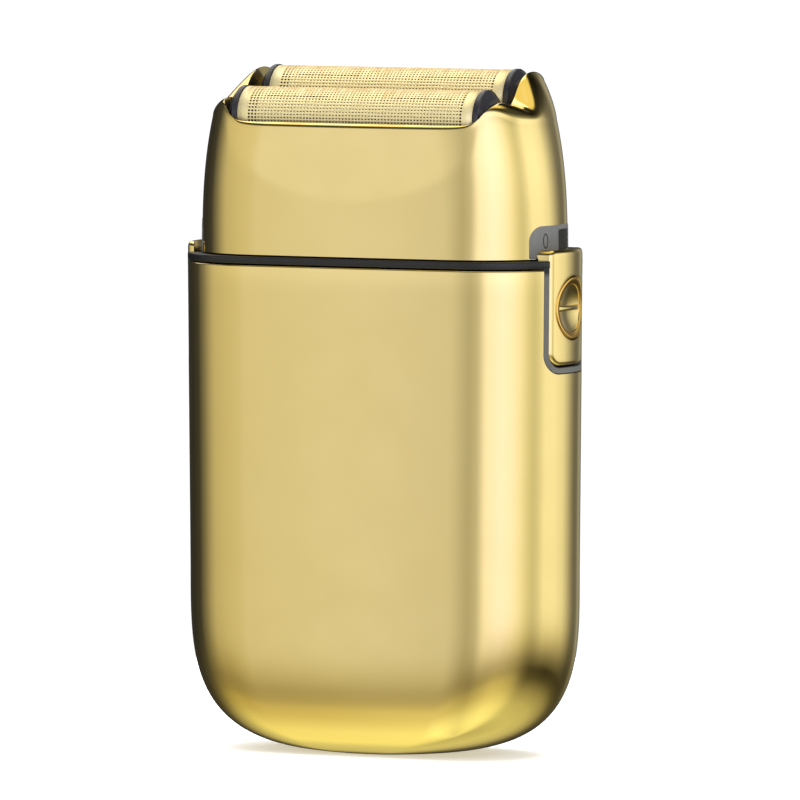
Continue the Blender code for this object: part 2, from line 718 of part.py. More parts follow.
def make_deck():
    """Top cover of the drive, which the head slides over."""
    rings = [section(27.0, 12.7, 77.4), section(27.0, 12.7, 79.8), section(26.9, 11.0, 79.8),
             section(26.9, 11.0, 83.6), section(26.5, 10.6, 84.0)]
    deck = loft("drive_deck", rings)
    for label, y_low, y_high, top in (("front", -10.0, -6.6, 85.8), ("rear", 6.6, 10.0, 88.4)):
        for end in (-1, 1):
            x_low, x_high = side_span(end, 8.6, 12.4)
            post = box("deck_guide_%s_%d" % (label, end), (x_low, y_low, 83.0), (x_high, y_high, top))
            fuse(deck, add_cutter(post))
    cut(deck, add_cutter(rod("deck_shaft_hole", 2.4, (0, 0, 76), (0, 0, 86), 20)))
    number = 1
    for x in (-20.5, 20.5):
        for y in (-6.8, 6.8):
            profile = [(0, -0.5), (0.75, -0.5), (0.8, 0.0), (1.7, 0.0), (1.9, -0.25), (1.9, -1.2),
                       (0.95, -1.2), (0.95, -8.2), (0, -8.2)]
            screw = place(turned("deck_screw_%d" % number, profile, 16), x, y, 83.9)
            add_part(screw, "steel")
            sink = rod("screw_sink_%d" % number, 2.2, (x, y, 82.4), (x, y, 86), 20)
            hole = rod("screw_hole_%d" % number, 1.25, (x, y, 76), (x, y, 83), 16)
            cut(deck, add_cutter(sink), add_cutter(hole))
            number += 1
    add_part(deck, "dark_plastic")


def make_inner_frame():
    """Backbone with a shelf and a foot for the cell and a pad behind the motor."""
    frame = box("inner_frame", (-24.0, 8.4, 11.0), (24.0, 10.0, 77.0))
    pieces = [box("frame_shelf", (-24.0, -3.0, 64.2), (-11.0, 8.9, 65.8)),
              box("frame_foot", (-24.5, -6.0, 11.0), (-10.8, 8.9, 12.6)),
              box("frame_motor_rest", (-8.0, 7.9, 52.0), (8.0, 8.9, 72.0))]
    for piece in pieces:
        fuse(frame, add_cutter(piece))
    add_part(frame, "grey_plastic")


def make_motor():
    outline = rounded_rectangle(10.0, 7.7, 6.0)
    can = prism("motor_can", outline, 49.2, 75.0, "Z")
    cut(can, add_cutter(rod("motor_bore", 1.4, (0, 0, 48), (0, 0, 76))))
    add_part(can, "nickel")
    cap = prism("motor_end_cap", rounded_rectangle(9.8, 7.5, 6.0), 46.4, 48.9, "Z")
    cut(cap, add_cutter(rod("end_cap_bore", 1.4, (0, 0, 45), (0, 0, 50))))
    add_part(cap, "white_plastic")
    bracket = box("motor_bracket", (-14.0, -8.4, 75.3), (14.0, 8.4, 76.9))
    cut(bracket, add_cutter(rod("bracket_bore", 2.6, (0, 0, 74), (0, 0, 78), 20)))
    add_part(bracket, "steel")


def make_electrics():
    add_part(rod("battery_cell", 7.0, (-18, 0, 14.6), (-18, 0, 63.0), 28), "cell_wrap")
    add_part(box("battery_tab_top", (-21.0, -2.5, 63.3), (-13.5, 2.5, 63.6)), "nickel")
    add_part(box("battery_tab_bottom", (-22.0, -2.5, 14.0), (-13.5, 2.5, 14.3)), "nickel")
    add_part(box("battery_pad", (-24.0, -5.0, 12.9), (-12.5, 5.0, 13.7)), "foam")
    add_part(box("circuit_board", (-9.5, 2.6, 9.2), (25.5, 3.8, 43.5)), "board_green")
    add_part(box("charge_chip", (6.0, 1.2, 24.0), (12.0, 2.3, 30.0)), "dark_plastic")
    add_part(rod("charge_light", 0.75, (8.6, 0, 0.1), (8.6, 0, 6.0), 16), "clear_lens")
    socket = prism("usb_socket", rounded_rectangle(4.45, 1.6, 1.5), 0.5, 8.4, "Z")
    mouth = prism("usb_mouth", rounded_rectangle(4.15, 1.3, 1.25), -1.0, 7.4, "Z")
    tongue = prism("usb_tongue", rounded_rectangle(3.3, 0.35, 0.2), 1.2, 8.0, "Z")
    cut(socket, add_cutter(mouth))
    fuse(socket, add_cutter(tongue))
    add_part(socket, "nickel")
    bezel = prism("port_bezel", rounded_rectangle(5.25, 2.35, 2.3), 0.05, 2.4, "Z")
    cut(bezel, add_cutter(prism("bezel_hole", rounded_rectangle(4.75, 1.85, 1.75), -1.0, 4.0, "Z")))
    add_part(bezel, "dark_plastic")


def make_shaver():
    make_casing()
    make_seal()
    make_power_switch()
    make_release()
    make_head_casing()
    make_windows()
    make_foil_frame()
    for which, label in enumerate(("front", "rear")):
        make_foil(which, label)
        make_cutter(which, label)
    make_drive_arm(0, "front", FRONT_ARM_Z, (-8.2, -3.4), 94.0)
    make_drive_arm(1, "rear", REAR_ARM_Z, (5.2, 9.8), 97.0)
    make_rotor()
    make_deck()
    make_inner_frame()
    make_motor()
    make_electrics()


clear_scene()
PARTS = new_collection("foil_shaver")
CUTTERS = new_collection("foil_shaver_cutters")
make_shaver()
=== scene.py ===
"""Looks of the foil shaver: fine gold shells, perforated foils and studio light round the CAD frame.

Lengths are in millimetres, but for the camera, the lights and the reliefs, which are in metres.
"""
import json
from functools import cache
from math import atan2, cos, hypot, pi, radians, sin, sqrt

import bmesh
import bpy
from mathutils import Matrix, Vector
from mathutils.bvhtree import BVHTree
from mathutils.interpolate import poly_3d_calc

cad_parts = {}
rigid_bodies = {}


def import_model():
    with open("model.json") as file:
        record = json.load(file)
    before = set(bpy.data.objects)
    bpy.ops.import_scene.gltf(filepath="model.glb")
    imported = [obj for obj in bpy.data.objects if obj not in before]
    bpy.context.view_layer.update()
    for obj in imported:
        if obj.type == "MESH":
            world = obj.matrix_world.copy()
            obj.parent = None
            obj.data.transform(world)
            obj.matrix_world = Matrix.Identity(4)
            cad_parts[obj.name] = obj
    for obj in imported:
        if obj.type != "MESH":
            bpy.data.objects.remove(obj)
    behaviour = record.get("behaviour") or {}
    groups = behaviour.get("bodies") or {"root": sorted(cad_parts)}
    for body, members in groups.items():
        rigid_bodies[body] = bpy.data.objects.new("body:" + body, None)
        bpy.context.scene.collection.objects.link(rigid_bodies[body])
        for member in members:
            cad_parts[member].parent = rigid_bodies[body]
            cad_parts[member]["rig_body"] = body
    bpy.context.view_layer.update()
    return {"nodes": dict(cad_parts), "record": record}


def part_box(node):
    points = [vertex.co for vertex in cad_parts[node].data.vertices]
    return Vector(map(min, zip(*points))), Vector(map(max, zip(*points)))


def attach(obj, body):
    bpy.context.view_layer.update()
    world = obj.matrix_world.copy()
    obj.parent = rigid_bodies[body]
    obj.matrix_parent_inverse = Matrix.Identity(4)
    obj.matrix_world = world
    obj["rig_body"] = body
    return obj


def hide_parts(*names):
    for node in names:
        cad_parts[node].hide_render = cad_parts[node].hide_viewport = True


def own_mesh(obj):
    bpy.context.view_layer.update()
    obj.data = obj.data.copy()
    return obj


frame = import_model()
NODES = frame["nodes"]
MM = 0.001


def extent(node):
    """Lowest and highest corner of a CAD node, in millimetres."""
    low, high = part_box(node)
    return low / MM, high / MM


# ---- sizes: extents from the frame, then what the finer forms add

_, CASING_HIGH = extent("main_casing")
SEAL_LOW, SEAL_HIGH = extent("seal_band")
HEAD_LOW, _ = extent("head_casing")
PLATE_LOW, PLATE_HIGH = extent("power_switch_plate")
DISC_LOW, DISC_HIGH = extent("switch_thumb_disc")
WINDOW_LOW, WINDOW_HIGH = extent("switch_window")
_, FOIL_HIGH = extent("foil_front")

CASING_TOP = CASING_HIGH.z
CASING_FLARE = 0.45  # growth of the half width up to the top
CASING_HALF_WIDTH = SEAL_HIGH.x - CASING_FLARE
CASING_HALF_DEPTH = CASING_HIGH.y
CASING_WALL = 1.8
TOP_EDGE = 0.3
BOTTOM_HEIGHT = 30.0  # where the sides start to round in
BOTTOM_POWER = 3.45
BOTTOM_FLAT = (9.0, 6.3)  # half width and half depth of the foot
DEPTH_ROUND_HEIGHT = 20.0
DEPTH_POWER = 2.9
SECTION_POWER = 2.15
FACE_CROWN = 1.0

SEAL_BAND_LOW = CASING_TOP + 0.2
SEAL_INSIDE = (29.4, 11.9)  # half width and half depth
SEAL_U = (7.4, SEAL_LOW.z, 3.3)  # half width, bottom and corner radius of the leg
SEAL_LEG = 0.95
NOTCH_REACH = (26.0, 37.0)  # cuts in the sides, from x to x

PLATE_HALF = PLATE_HIGH.y
PLATE_THICK = 1.9
PLATE_EDGE = 0.75
PLATE_CORNERS = (2.2, 1.0)  # low and high
GAP = 0.12  # between nested pieces
PORT = (5.5, -2.6, 2.6, 2.5, 2.5)  # half width, front and rear edge, their corner radii
LIGHT = (1.0, (8.6, 0.0), 48)  # radius, place and sides
RELEASE_THICK = 1.1
DISC_Z = (DISC_LOW.z + DISC_HIGH.z) / 2
DISC_RADIUS = DISC_HIGH.y
DISH_RADIUS = 3.87
DISH_EDGE = 0.4  # depth under the plate's face
DISH_DEEP = 1.35

HEAD_BASE = 82.0  # where its walls start to lean in
HEAD_RISE = 22.0
HEAD_HALF_WIDTH = 31.5
HEAD_HALF_DEPTH = 14.1
HEAD_WALL = (1.7, 1.15)  # at the sides, at the faces
OPENING = (24.3, 12.35, 2.6)  # half width, half depth and corner radius
FRONT_EDGE = 103.5
GUIDE_LOW = 99.2
SHOULDER = 104.0
SHOULDER_POWERS = (1.9, 1.4)  # low and high lobe
LOBE_HEIGHTS = (107.5, 111.0)
SCOOP_LOW = 90.8  # foot of the arc on the front face
SCOOP_HALF = 22.8
SCOOP_SLOPE = 0.045

FOIL_TILT = radians(14.0)
FOIL_RADIUS = 4.6
FOIL_SKIRT = 1.6
FOIL_SHEET = 0.09
FOIL_HALF_LENGTH = FOIL_HIGH.x
FOIL_BAND = 1.8  # plain band at each end
FOIL_GRID = (28, 66)  # rows and columns of holes
DARK_ROW = 9  # row with two stretches of wider holes
FOIL_PITCH = 12.3
FRONT_FOIL = (-7.0, 104.3)  # middle of the front arch (y, z)
FOIL_CENTRES = (FRONT_FOIL, (FRONT_FOIL[0] + FOIL_PITCH * cos(FOIL_TILT),
                             FRONT_FOIL[1] + FOIL_PITCH * sin(FOIL_TILT)))
HOLDER_ARCH = 4.85
HOLDER_SKIRT = 5.15
HOLDER_DEPTH = 3.2
CUTTER_HALF = (19.8, 3.6, 4.1)  # half length, half width and height of the comb


# ---- mesh building

def add_object(name, data):
    obj = bpy.data.objects.new(name, data)
    bpy.context.scene.collection.objects.link(obj)
    return obj


def mesh_object(name, verts, faces, sharp=35.0):
    """Object from points in millimetres; edges that bend by more than sharp degrees stay crisp."""
    mesh = bpy.data.meshes.new(name)
    mesh.from_pydata([(x * MM, y * MM, z * MM) for x, y, z in verts], [], faces)
    mesh.validate()
    mesh.shade_smooth()
    mesh.set_sharp_from_angle(angle=radians(sharp))
    return add_object(name, mesh)


def loft(name, rings, ends="caps", sharp=35.0):
    """Skin through rings with equally many points; as a "tube" it goes on to the first ring."""
    count = len(rings[0])
    rows = [range(k * count, (k + 1) * count) for k in range(len(rings))]
    pairs = list(zip(rows, rows[1:]))
    if ends == "tube":
        pairs.append((rows[-1], rows[0]))
    faces = []
    for low, high in pairs:
        for i in range(count):
            j = (i + 1) % count
            faces.append((low[i], low[j], high[j], high[i]))
    if ends == "caps":
        faces.append(tuple(reversed(rows[0])))
        faces.append(tuple(rows[-1]))
    return mesh_object(name, [point for ring in rings for point in ring], faces, sharp)


def outward(obj):
    """Turns a closed mesh's faces outwards."""
    bm = bmesh.new()
    bm.from_mesh(obj.data)
    bmesh.ops.recalc_face_normals(bm, faces=bm.faces)
    bm.to_mesh(obj.data)
    bm.free()
    return obj


def baked(obj):
    """Applies the modifiers, so that the mesh is final."""
    graph = bpy.context.evaluated_depsgraph_get()
    mesh = bpy.data.meshes.new_from_object(obj.evaluated_get(graph), depsgraph=graph)
    obj.modifiers.clear()
    obj.data = mesh
    return obj


def boolean(obj, tool, operation="DIFFERENCE"):
    """Cuts obj with a tool that is used up."""
    modifier = obj.modifiers.new(operation.title(), "BOOLEAN")
    modifier.operation = operation
    modifier.object = tool
    baked(obj)
    bpy.data.objects.remove(tool)


def restore_normals(obj, smooth, tolerance=20.0):
    """Gives faces that still lie on a smooth form its normals, so that cuts don't dent the gloss."""
    form = smooth.data.vertices
    smooth.data.calc_loop_triangles()
    triangles = [tuple(t.vertices) for t in smooth.data.loop_triangles]
    tree = BVHTree.FromPolygons([v.co for v in form], triangles)
    limit = cos(radians(tolerance))
    custom = []
    for polygon in obj.data.polygons:
        for loop in polygon.loop_indices:
            point = obj.data.vertices[obj.data.loops[loop].vertex_index].co
            spot, _, index, distance = tree.find_nearest(point)
            corners = triangles[index]
            weights = poly_3d_calc([form[v].co for v in corners], spot)
            normal = sum((form[v].normal * w for v, w in zip(corners, weights)), Vector()).normalized()
            on_form = distance < 0.05 * MM and normal.dot(polygon.normal) > limit
            custom.append(normal if on_form else polygon.normal.copy())
    obj.data.normals_split_custom_set(custom)


def prism(name, outline, low, high, axis="X"):
    """Outline extruded along an axis; for "X" its points are (y, z), for "Z" (x, y)."""
    return outward(loft(name, [[(level, p, q) if axis == "X" else (p, q, level) for p, q in outline]
                               for level in (low, high)]))


def join(name, objects):
    """One object from several closed shells."""
    verts, faces = [], []
    for obj in objects:
        start = len(verts)
        verts += [v.co / MM for v in obj.data.vertices]
        faces += [tuple(start + i for i in p.vertices) for p in obj.data.polygons]
        bpy.data.objects.remove(obj)
    return mesh_object(name, verts, faces)


# ---- outlines

def circle(radius, centre=(0.0, 0.0), steps=120):
    return [(centre[0] + radius * cos(2 * pi * k / steps), centre[1] + radius * sin(2 * pi * k / steps))
            for k in range(steps)]


def quarter_turn(steps, first=0.0):
    """Angles through a quarter of a turn."""
    return [first + pi / 2 * k / steps for k in range(steps + 1)]


def side_quarter(power, steps):
    """Unit superellipse quarter from (1, 0) to (0, 1)."""
    return [(max(cos(pi / 2 * k / steps), 0.0) ** (2 / power), sin(pi / 2 * k / steps) ** (2 / power))
            for k in range(steps + 1)]


def section(half_width, half_depth, power=SECTION_POWER, side_steps=40, face_steps=36):
    """Oval outline: almost flat faces front and rear, rounded sides."""
    corner = min(half_depth, half_width)
    straight = half_width - corner
    quarter = [(straight + corner * cx, half_depth * cy) for cx, cy in side_quarter(power, side_steps)]
    quarter += [(straight * (1 - k / face_steps), half_depth) for k in range(1, face_steps + 1)]
    crown = FACE_CROWN * half_depth / CASING_HALF_DEPTH
    quarter = [(x, y - crown * (x / half_width) ** 2 * y / half_depth) for x, y in quarter]
    half = quarter + [(-x, y) for x, y in reversed(quarter[:-1])]
    return half + [(-x, -y) for x, y in half[1:-1]]


def side_reach(y, half_width, half_depth, power):
    """How far out the rounded side lies at depth y."""
    corner = min(half_depth, half_width)
    flat = abs(y) / (1 - FACE_CROWN / CASING_HALF_DEPTH)
    return half_width - corner + corner * max(1 - (flat / half_depth) ** power, 0.0) ** (1 / power)


def rounded_outline(half, low, high, low_corner, high_corner, steps=12, runs=10):
    """Rounded rectangle as (y, z) points, counter-clockwise, with its straight runs divided too."""
    corners = ((half, high, high_corner, 0.0), (-half, high, high_corner, pi / 2),
               (-half, low, low_corner, pi), (half, low, low_corner, 1.5 * pi))
    arcs = []
    for y, z, corner, first in corners:
        cy = y - corner if y > 0 else y + corner
        cz = z - corner if z == high else z + corner
        arcs.append([(cy + corner * cos(turn), cz + corner * sin(turn))
                     for turn in quarter_turn(steps, first)])
    points = []
    for arc, after in zip(arcs, arcs[1:] + arcs[:1]):
        (py, pz), (qy, qz) = arc[-1], after[0]
        points += arc
        points += [(py + (qy - py) * k / runs, pz + (qz - pz) * k / runs) for k in range(1, runs)]
    return points


# ---- forms shared with the frame

def casing_half_width(z):
    if z >= BOTTOM_HEIGHT:
        return CASING_HALF_WIDTH + CASING_FLARE * (z - BOTTOM_HEIGHT) / (CASING_TOP - BOTTOM_HEIGHT)
    fall = (BOTTOM_HEIGHT - z) / BOTTOM_HEIGHT
    return max(CASING_HALF_WIDTH * (1 - fall ** BOTTOM_POWER) ** (1 / BOTTOM_POWER), BOTTOM_FLAT[0])


def casing_half_depth(z):
    if z >= DEPTH_ROUND_HEIGHT:
        return CASING_HALF_DEPTH
    fall = (DEPTH_ROUND_HEIGHT - z) / DEPTH_ROUND_HEIGHT
    growth = (1 - fall ** DEPTH_POWER) ** (1 / DEPTH_POWER)
    return BOTTOM_FLAT[1] + (CASING_HALF_DEPTH - BOTTOM_FLAT[1]) * growth


def casing_ring(form_z, inset=0.0, height=None):
    outline = section(casing_half_width(form_z) - inset, casing_half_depth(form_z) - inset)
    level = form_z if height is None else height
    return [(x, y, level) for x, y in outline]


def casing_side(y, z):
    level = min(z, CASING_TOP)
    return side_reach(y, casing_half_width(level), CASING_HALF_DEPTH, SECTION_POWER)


def head_half_width(z):
    t = (z - HEAD_BASE) / 27.0
    return HEAD_HALF_WIDTH - 0.5 * t - 3.15 * max(t, 0.0) ** 2.8


def head_half_depth(z):
    return HEAD_HALF_DEPTH - 0.35 * (z - HEAD_BASE) / HEAD_RISE


def head_power(z):
    return SECTION_POWER + 0.2 * min(max((z - HEAD_BASE) / HEAD_RISE, 0.0), 1.0)


def head_side(y, z):
    return side_reach(y, head_half_width(z), head_half_depth(z), head_power(z))


def arch_height(y, centre, half, base, rise):
    reach = abs(y - centre) / half
    if reach >= 1.0:
        return base - 4.0 * rise * (reach - 1.0)
    return base + rise * (1 - reach ** 2.2) ** (1 / 2.2)


def smooth_step(value, low, high):
    share = min(max((value - low) / (high - low), 0.0), 1.0)
    return share * share * (3 - 2 * share)


def rim_height(x, y):
    """Height of the rim: a low lobe over the front foil's ends, a high one over the rear's."""
    front = arch_height(y, centre=-7.2, half=6.4 if y < -7.2 else 7.0, base=101.0, rise=6.15)
    rear = arch_height(y, centre=5.0, half=7.6, base=104.5, rise=7.2)
    height = max((front + rear + sqrt((front - rear) ** 2 + 1.0)) / 2, FRONT_EDGE)
    if y > 0:
        return height
    corner_start = OPENING[0] - OPENING[2]
    return FRONT_EDGE + (height - FRONT_EDGE) * smooth_step(abs(x), corner_start, corner_start + 2.2)


def shoulder_height(rim, width):
    """Where the rounding under the rim starts: close under a thin wall, low down on the end lobes."""
    thin = rim - 0.45 - 0.6 * min(width, 2.0)
    return thin + (min(SHOULDER, thin) - thin) * smooth_step(width, 1.5, 3.5)


def shoulder_power(rim):
    """Roundness of the bend between the wall and a rim of this height."""
    low, high = SHOULDER_POWERS
    return low + (high - low) * smooth_step(rim, *LOBE_HEIGHTS)


def opening_point(x, y):
    """Point of the foil opening that a point of the head's outline leads to."""
    half_width, half_depth, corner = OPENING
    reach_x, reach_y = half_width - corner, half_depth - corner
    ax, ay = abs(x), abs(y)
    if ax > reach_x and ay > 0.0:
        ay = min(ay * half_depth / head_half_depth(FRONT_EDGE), half_depth)
    dx, dy = max(ax - reach_x, 0.0), max(ay - reach_y, 0.0)
    length = hypot(dx, dy)
    if dx > 0 and dy > 0:
        qx, qy = reach_x + corner * dx / length, reach_y + corner * dy / length
    elif dx > 0:
        qx, qy = half_width, ay
    else:
        qx, qy = ax, half_depth
    return (qx if x > 0 else -qx), (qy if y > 0 else -qy)


def scoop_depth(x, z):
    """The front face leans in above an arc that hangs from the front edge's ends."""
    if abs(x) >= SCOOP_HALF:
        return 0.0
    arc = SCOOP_LOW + (FRONT_EDGE - SCOOP_LOW) * (1 - sqrt(1 - (x / SCOOP_HALF) ** 2))
    above = z - arc
    soft = 0.25
    return SCOOP_SLOPE * (above + sqrt(above * above + soft * soft)) / 2


# ---- materials

NOISE_RANGE = (0.3, 0.7)  # where most of a noise's values lie


def add_node(tree, kind, sockets=(), operation=None):
    """New node with its inputs, by name or number, set to values or linked to outputs."""
    node = tree.nodes.new("ShaderNode" + kind)
    if operation:
        node.operation = operation
    for key, value in dict(sockets).items():
        if isinstance(value, bpy.types.NodeSocket):
            tree.links.new(value, node.inputs[key])
        else:
            node.inputs[key].default_value = value
    return node


def math_node(tree, operation, *values):
    return add_node(tree, "Math", enumerate(values), operation).outputs["Value"]


def coordinate(tree, kind):
    """X, Y and Z of a kind of texture coordinate."""
    place = add_node(tree, "TexCoord")
    split = add_node(tree, "SeparateXYZ", {"Vector": place.outputs[kind]})
    return [split.outputs[axis] for axis in "XYZ"]


def base_material(name, sockets):
    """Material whose shader has the given uniform values."""
    material = bpy.data.materials.new(name)
    material.use_nodes = True
    for key, value in sockets.items():
        material.node_tree.nodes["Principled BSDF"].inputs[key].default_value = value
    return material


def feed_shader(material, output, socket):
    tree = material.node_tree
    tree.links.new(output, tree.nodes["Principled BSDF"].inputs[socket])


def add_noise(material, scale, detail=3.0, stretch=(1.0, 1.0, 1.0)):
    """Noise in object space, in cycles per metre."""
    tree = material.node_tree
    place = add_node(tree, "TexCoord")
    mapping = add_node(tree, "Mapping", {"Vector": place.outputs["Object"], "Scale": stretch})
    noise = add_node(tree, "TexNoise",
                     {"Vector": mapping.outputs["Vector"], "Scale": scale, "Detail": detail})
    return noise.outputs["Fac"]


def factor_of(material, source):
    """An output as it is, or the noise that (scale, detail, stretch) describe."""
    return add_noise(material, *source) if isinstance(source, tuple) else source


def vary_colour(material, source, low, high):
    ramp = add_node(material.node_tree, "ValToRGB", {"Fac": factor_of(material, source)})
    for element, position, colour in zip(ramp.color_ramp.elements, NOISE_RANGE, (low, high)):
        element.position = position
        element.color = (*colour, 1.0)
    feed_shader(material, ramp.outputs["Color"], "Base Color")


def vary_roughness(material, source, low, high):
    span = add_node(material.node_tree, "MapRange",
                    {"Value": factor_of(material, source), "From Min": NOISE_RANGE[0],
                     "From Max": NOISE_RANGE[1], "To Min": low, "To Max": high})
    feed_shader(material, span.outputs["Result"], "Roughness")


def add_bump(material, source, strength, distance):
    """Relief; the distance is in metres."""
    bump = add_node(material.node_tree, "Bump",
                    {"Height": factor_of(material, source), "Strength": strength, "Distance": distance})
    feed_shader(material, bump.outputs["Normal"], "Normal")


def gold_material():
    """Polished gold plating: a faint cloud in tint and gloss, and hairline polishing marks."""
    material = base_material("polished_gold", {"Metallic": 1.0})
    vary_colour(material, (45.0, 2.0), (0.945, 0.75, 0.32), (0.955, 0.765, 0.34))
    vary_roughness(material, (160.0, 4.0), 0.105, 0.15)
    add_bump(material, (2600.0, 2.0, (1.0, 1.0, 0.08)), 0.02, 0.00001)
    return material


def bright_gold_material():
    material = base_material("orange_gold", {"Metallic": 1.0})
    vary_colour(material, (200.0,), (0.96, 0.58, 0.13), (1.0, 0.66, 0.19))
    vary_roughness(material, (600.0,), 0.07, 0.13)
    return material


def foil_material():
    """Thin gold-coated foil, browner on its crown as painted shade, darker the more it faces up, with faint
    drawing marks.
    """
    material = base_material("foil_gold", {"Metallic": 0.6})
    tree = material.node_tree
    upward = coordinate(tree, "Normal")[2]
    streaks = add_noise(material, 2200.0, 2.0, (1.0, 0.12, 0.12))
    # painted shade: the colour turns brown as the surface faces up, added to the drawing streaks
    shade = math_node(tree, "ADD", math_node(tree, "MULTIPLY_ADD", streaks, 0.5, -0.25),
                      math_node(tree, "MULTIPLY_ADD", upward, 1.1, -0.45))
    vary_colour(material, shade, (1.0, 0.87, 0.50), (0.52, 0.33, 0.12))
    vary_roughness(material, (900.0, 3.0, (0.1, 1.0, 1.0)), 0.36, 0.48)
    return material


def rubber_material():
    """Near-black band; the U-shaped legs under it are a lighter grey."""
    material = base_material("seal_rubber", {})
    tree = material.node_tree
    span = add_node(tree, "MapRange",
                    {"Value": coordinate(tree, "Object")[2], "From Min": (SEAL_BAND_LOW - 2.0) * MM,
                     "From Max": SEAL_BAND_LOW * MM})
    vary_colour(material, span.outputs["Result"], (0.105, 0.105, 0.10), (0.008, 0.008, 0.011))
    vary_roughness(material, (700.0, 3.0), 0.28, 0.38)
    add_bump(material, (5000.0, 2.0), 0.15, 0.00002)
    return material


def plastic_material(name, colour, low=0.28, high=0.42, grain=0.12):
    """Moulded plastic with a fine spark-eroded grain."""
    material = base_material(name, {})
    lighter = tuple(min(c * 1.18 + 0.002, 1.0) for c in colour)
    vary_colour(material, (120.0, 2.0), colour, lighter)
    vary_roughness(material, (800.0, 3.0), low, high)
    add_bump(material, (4200.0, 2.0), grain, 0.00002)
    return material


def steel_material(name, colour=(0.62, 0.62, 0.61), low=0.2, high=0.34, stretch=(0.05, 1.0, 1.0)):
    """Ground or drawn metal with marks along one direction."""
    material = base_material(name, {"Base Color": (*colour, 1.0), "Metallic": 1.0})
    vary_roughness(material, (2500.0, 3.0, stretch), low, high)
    add_bump(material, (3500.0, 2.0, stretch), 0.1, 0.00001)
    return material


def board_material():
    material = base_material("board_mask", {"Roughness": 0.4})
    vary_colour(material, (500.0, 1.0, (1.0, 1.0, 0.2)), (0.015, 0.16, 0.06),
                (0.04, 0.28, 0.12))
    return material


def wrap_material():
    material = base_material("cell_wrap", {"Roughness": 0.35})
    vary_colour(material, (90.0,), (0.04, 0.15, 0.40), (0.06, 0.21, 0.50))
    return material


def foam_material():
    material = base_material("foam", {"Base Color": (0.1, 0.1, 0.1, 1.0), "Roughness": 0.9})
    add_bump(material, (3000.0, 4.0), 0.6, 0.0002)
    return material


def lens_material():
    material = base_material("light_pipe", {"Base Color": (0.85, 0.9, 0.95, 1.0),
                                            "Transmission Weight": 0.6})
    vary_roughness(material, (900.0,), 0.1, 0.25)
    return material


MATERIALS = {
    "gold": gold_material(),
    "bright_gold": bright_gold_material(),
    "foil_gold": foil_material(),
    "black_rubber": rubber_material(),
    "dark_plastic": plastic_material("dark_plastic", (0.020, 0.020, 0.026), 0.22, 0.34),
    "grey_plastic": plastic_material("grey_plastic", (0.13, 0.13, 0.13)),
    "white_plastic": plastic_material("white_plastic", (0.66, 0.66, 0.63)),
    "steel": steel_material("ground_steel"),
    "nickel": steel_material("nickel", (0.70, 0.68, 0.62), 0.22, 0.36, (1.0, 1.0, 0.05)),
    "cell_wrap": wrap_material(),
    "board_green": board_material(),
    "foam": foam_material(),
    "clear_lens": lens_material(),
    # near-black paint for the off mark's print, and painted shade in the window slots
    "mark": plastic_material("print_and_slot_shade_paint", (0.008, 0.008, 0.008), 0.4, 0.5),
}


def dress(obj, material, body, *replaced, slot=None):
    """Gives a piece its material, the body that it rides on and the CAD nodes that it stands for."""
    obj.data.materials.clear()
    obj.data.materials.append(MATERIALS[material])
    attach(obj, body)
    if replaced:
        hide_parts(*replaced)
    return obj


# ---- casing and seal

def side_span(side):
    return sorted(side * reach for reach in NOTCH_REACH)


def casing_levels():
    """Heights up the casing, close together where the bottom rounds."""
    low = [0.0, 0.03, 0.1, 0.25, 0.45]
    low += [0.45 + (BOTTOM_HEIGHT - 0.45) * (k / 44) ** 1.7 for k in range(1, 45)]
    return low + [BOTTOM_HEIGHT + (CASING_TOP - TOP_EDGE - BOTTOM_HEIGHT) * k / 12 for k in range(1, 13)]


def make_casing():
    """Gold can with a rounded top edge, notches for the side plates, a charging port and a light hole."""
    outer = [casing_ring(z) for z in casing_levels()]
    outer += [casing_ring(CASING_TOP, TOP_EDGE * (1 - cos(bend)), CASING_TOP - TOP_EDGE * (1 - sin(bend)))
              for bend in quarter_turn(4)[1:]]
    levels = (CASING_TOP, 56.0, BOTTOM_HEIGHT, 21.0, 15.5, 11.0, 7.4, 4.6, 2.6)
    casing = loft("gold_casing", outer + [casing_ring(z, CASING_WALL) for z in levels])
    smooth = casing.copy()
    smooth.data = casing.data.copy()
    half, bottom, corner = SEAL_U
    for side in (-1, 1):
        outline = rounded_outline(half + GAP, bottom - GAP, CASING_TOP + 3, corner, 0.5)
        boolean(casing, prism("notch", outline, *side_span(side)))
    for outline in (rounded_outline(*PORT), circle(*LIGHT)):
        boolean(casing, prism("hole", outline, -1.0, 4.0, "Z"))
    restore_normals(casing, smooth)
    bpy.data.objects.remove(smooth)
    dress(casing, "gold", "handle", "main_casing")


def make_seal():
    """Band with rounded edges on the casing's top, open where the side plates pass, and its two legs."""
    edge, top = 0.18, SEAL_HIGH.z
    bends = quarter_turn(3)
    outer = [casing_ring(CASING_TOP, edge * (1 - sin(bend)), SEAL_BAND_LOW + edge * (1 - cos(bend)))
             for bend in bends]
    outer += [casing_ring(CASING_TOP, edge * (1 - cos(bend)), top - edge + edge * sin(bend))
              for bend in bends]
    inner = [[(x, y, z) for x, y in section(*SEAL_INSIDE)] for z in (top, SEAL_BAND_LOW)]
    band = loft("seal", outer + inner, "tube")
    half, bottom, _ = SEAL_U
    for side, name in ((-1, "release_leg"), (1, "switch_leg")):
        outline = rounded_outline(half - SEAL_LEG, bottom, top + 3, 1.0, 0.3)
        room = prism("room", outline, *side_span(side))
        shell = [casing_ring(CASING_TOP, inset, z) for inset, z in
                 ((-1.5, bottom - 2), (-1.5, top + 4), (PLATE_THICK + 0.3, top + 4),
                  (PLATE_THICK + 0.3, bottom - 2))]
        boolean(room, loft("shell", shell, "tube"), "INTERSECT")
        boolean(band, room)
        make_seal_leg(name, side)
    dress(band, "black_rubber", "handle", "seal_band")


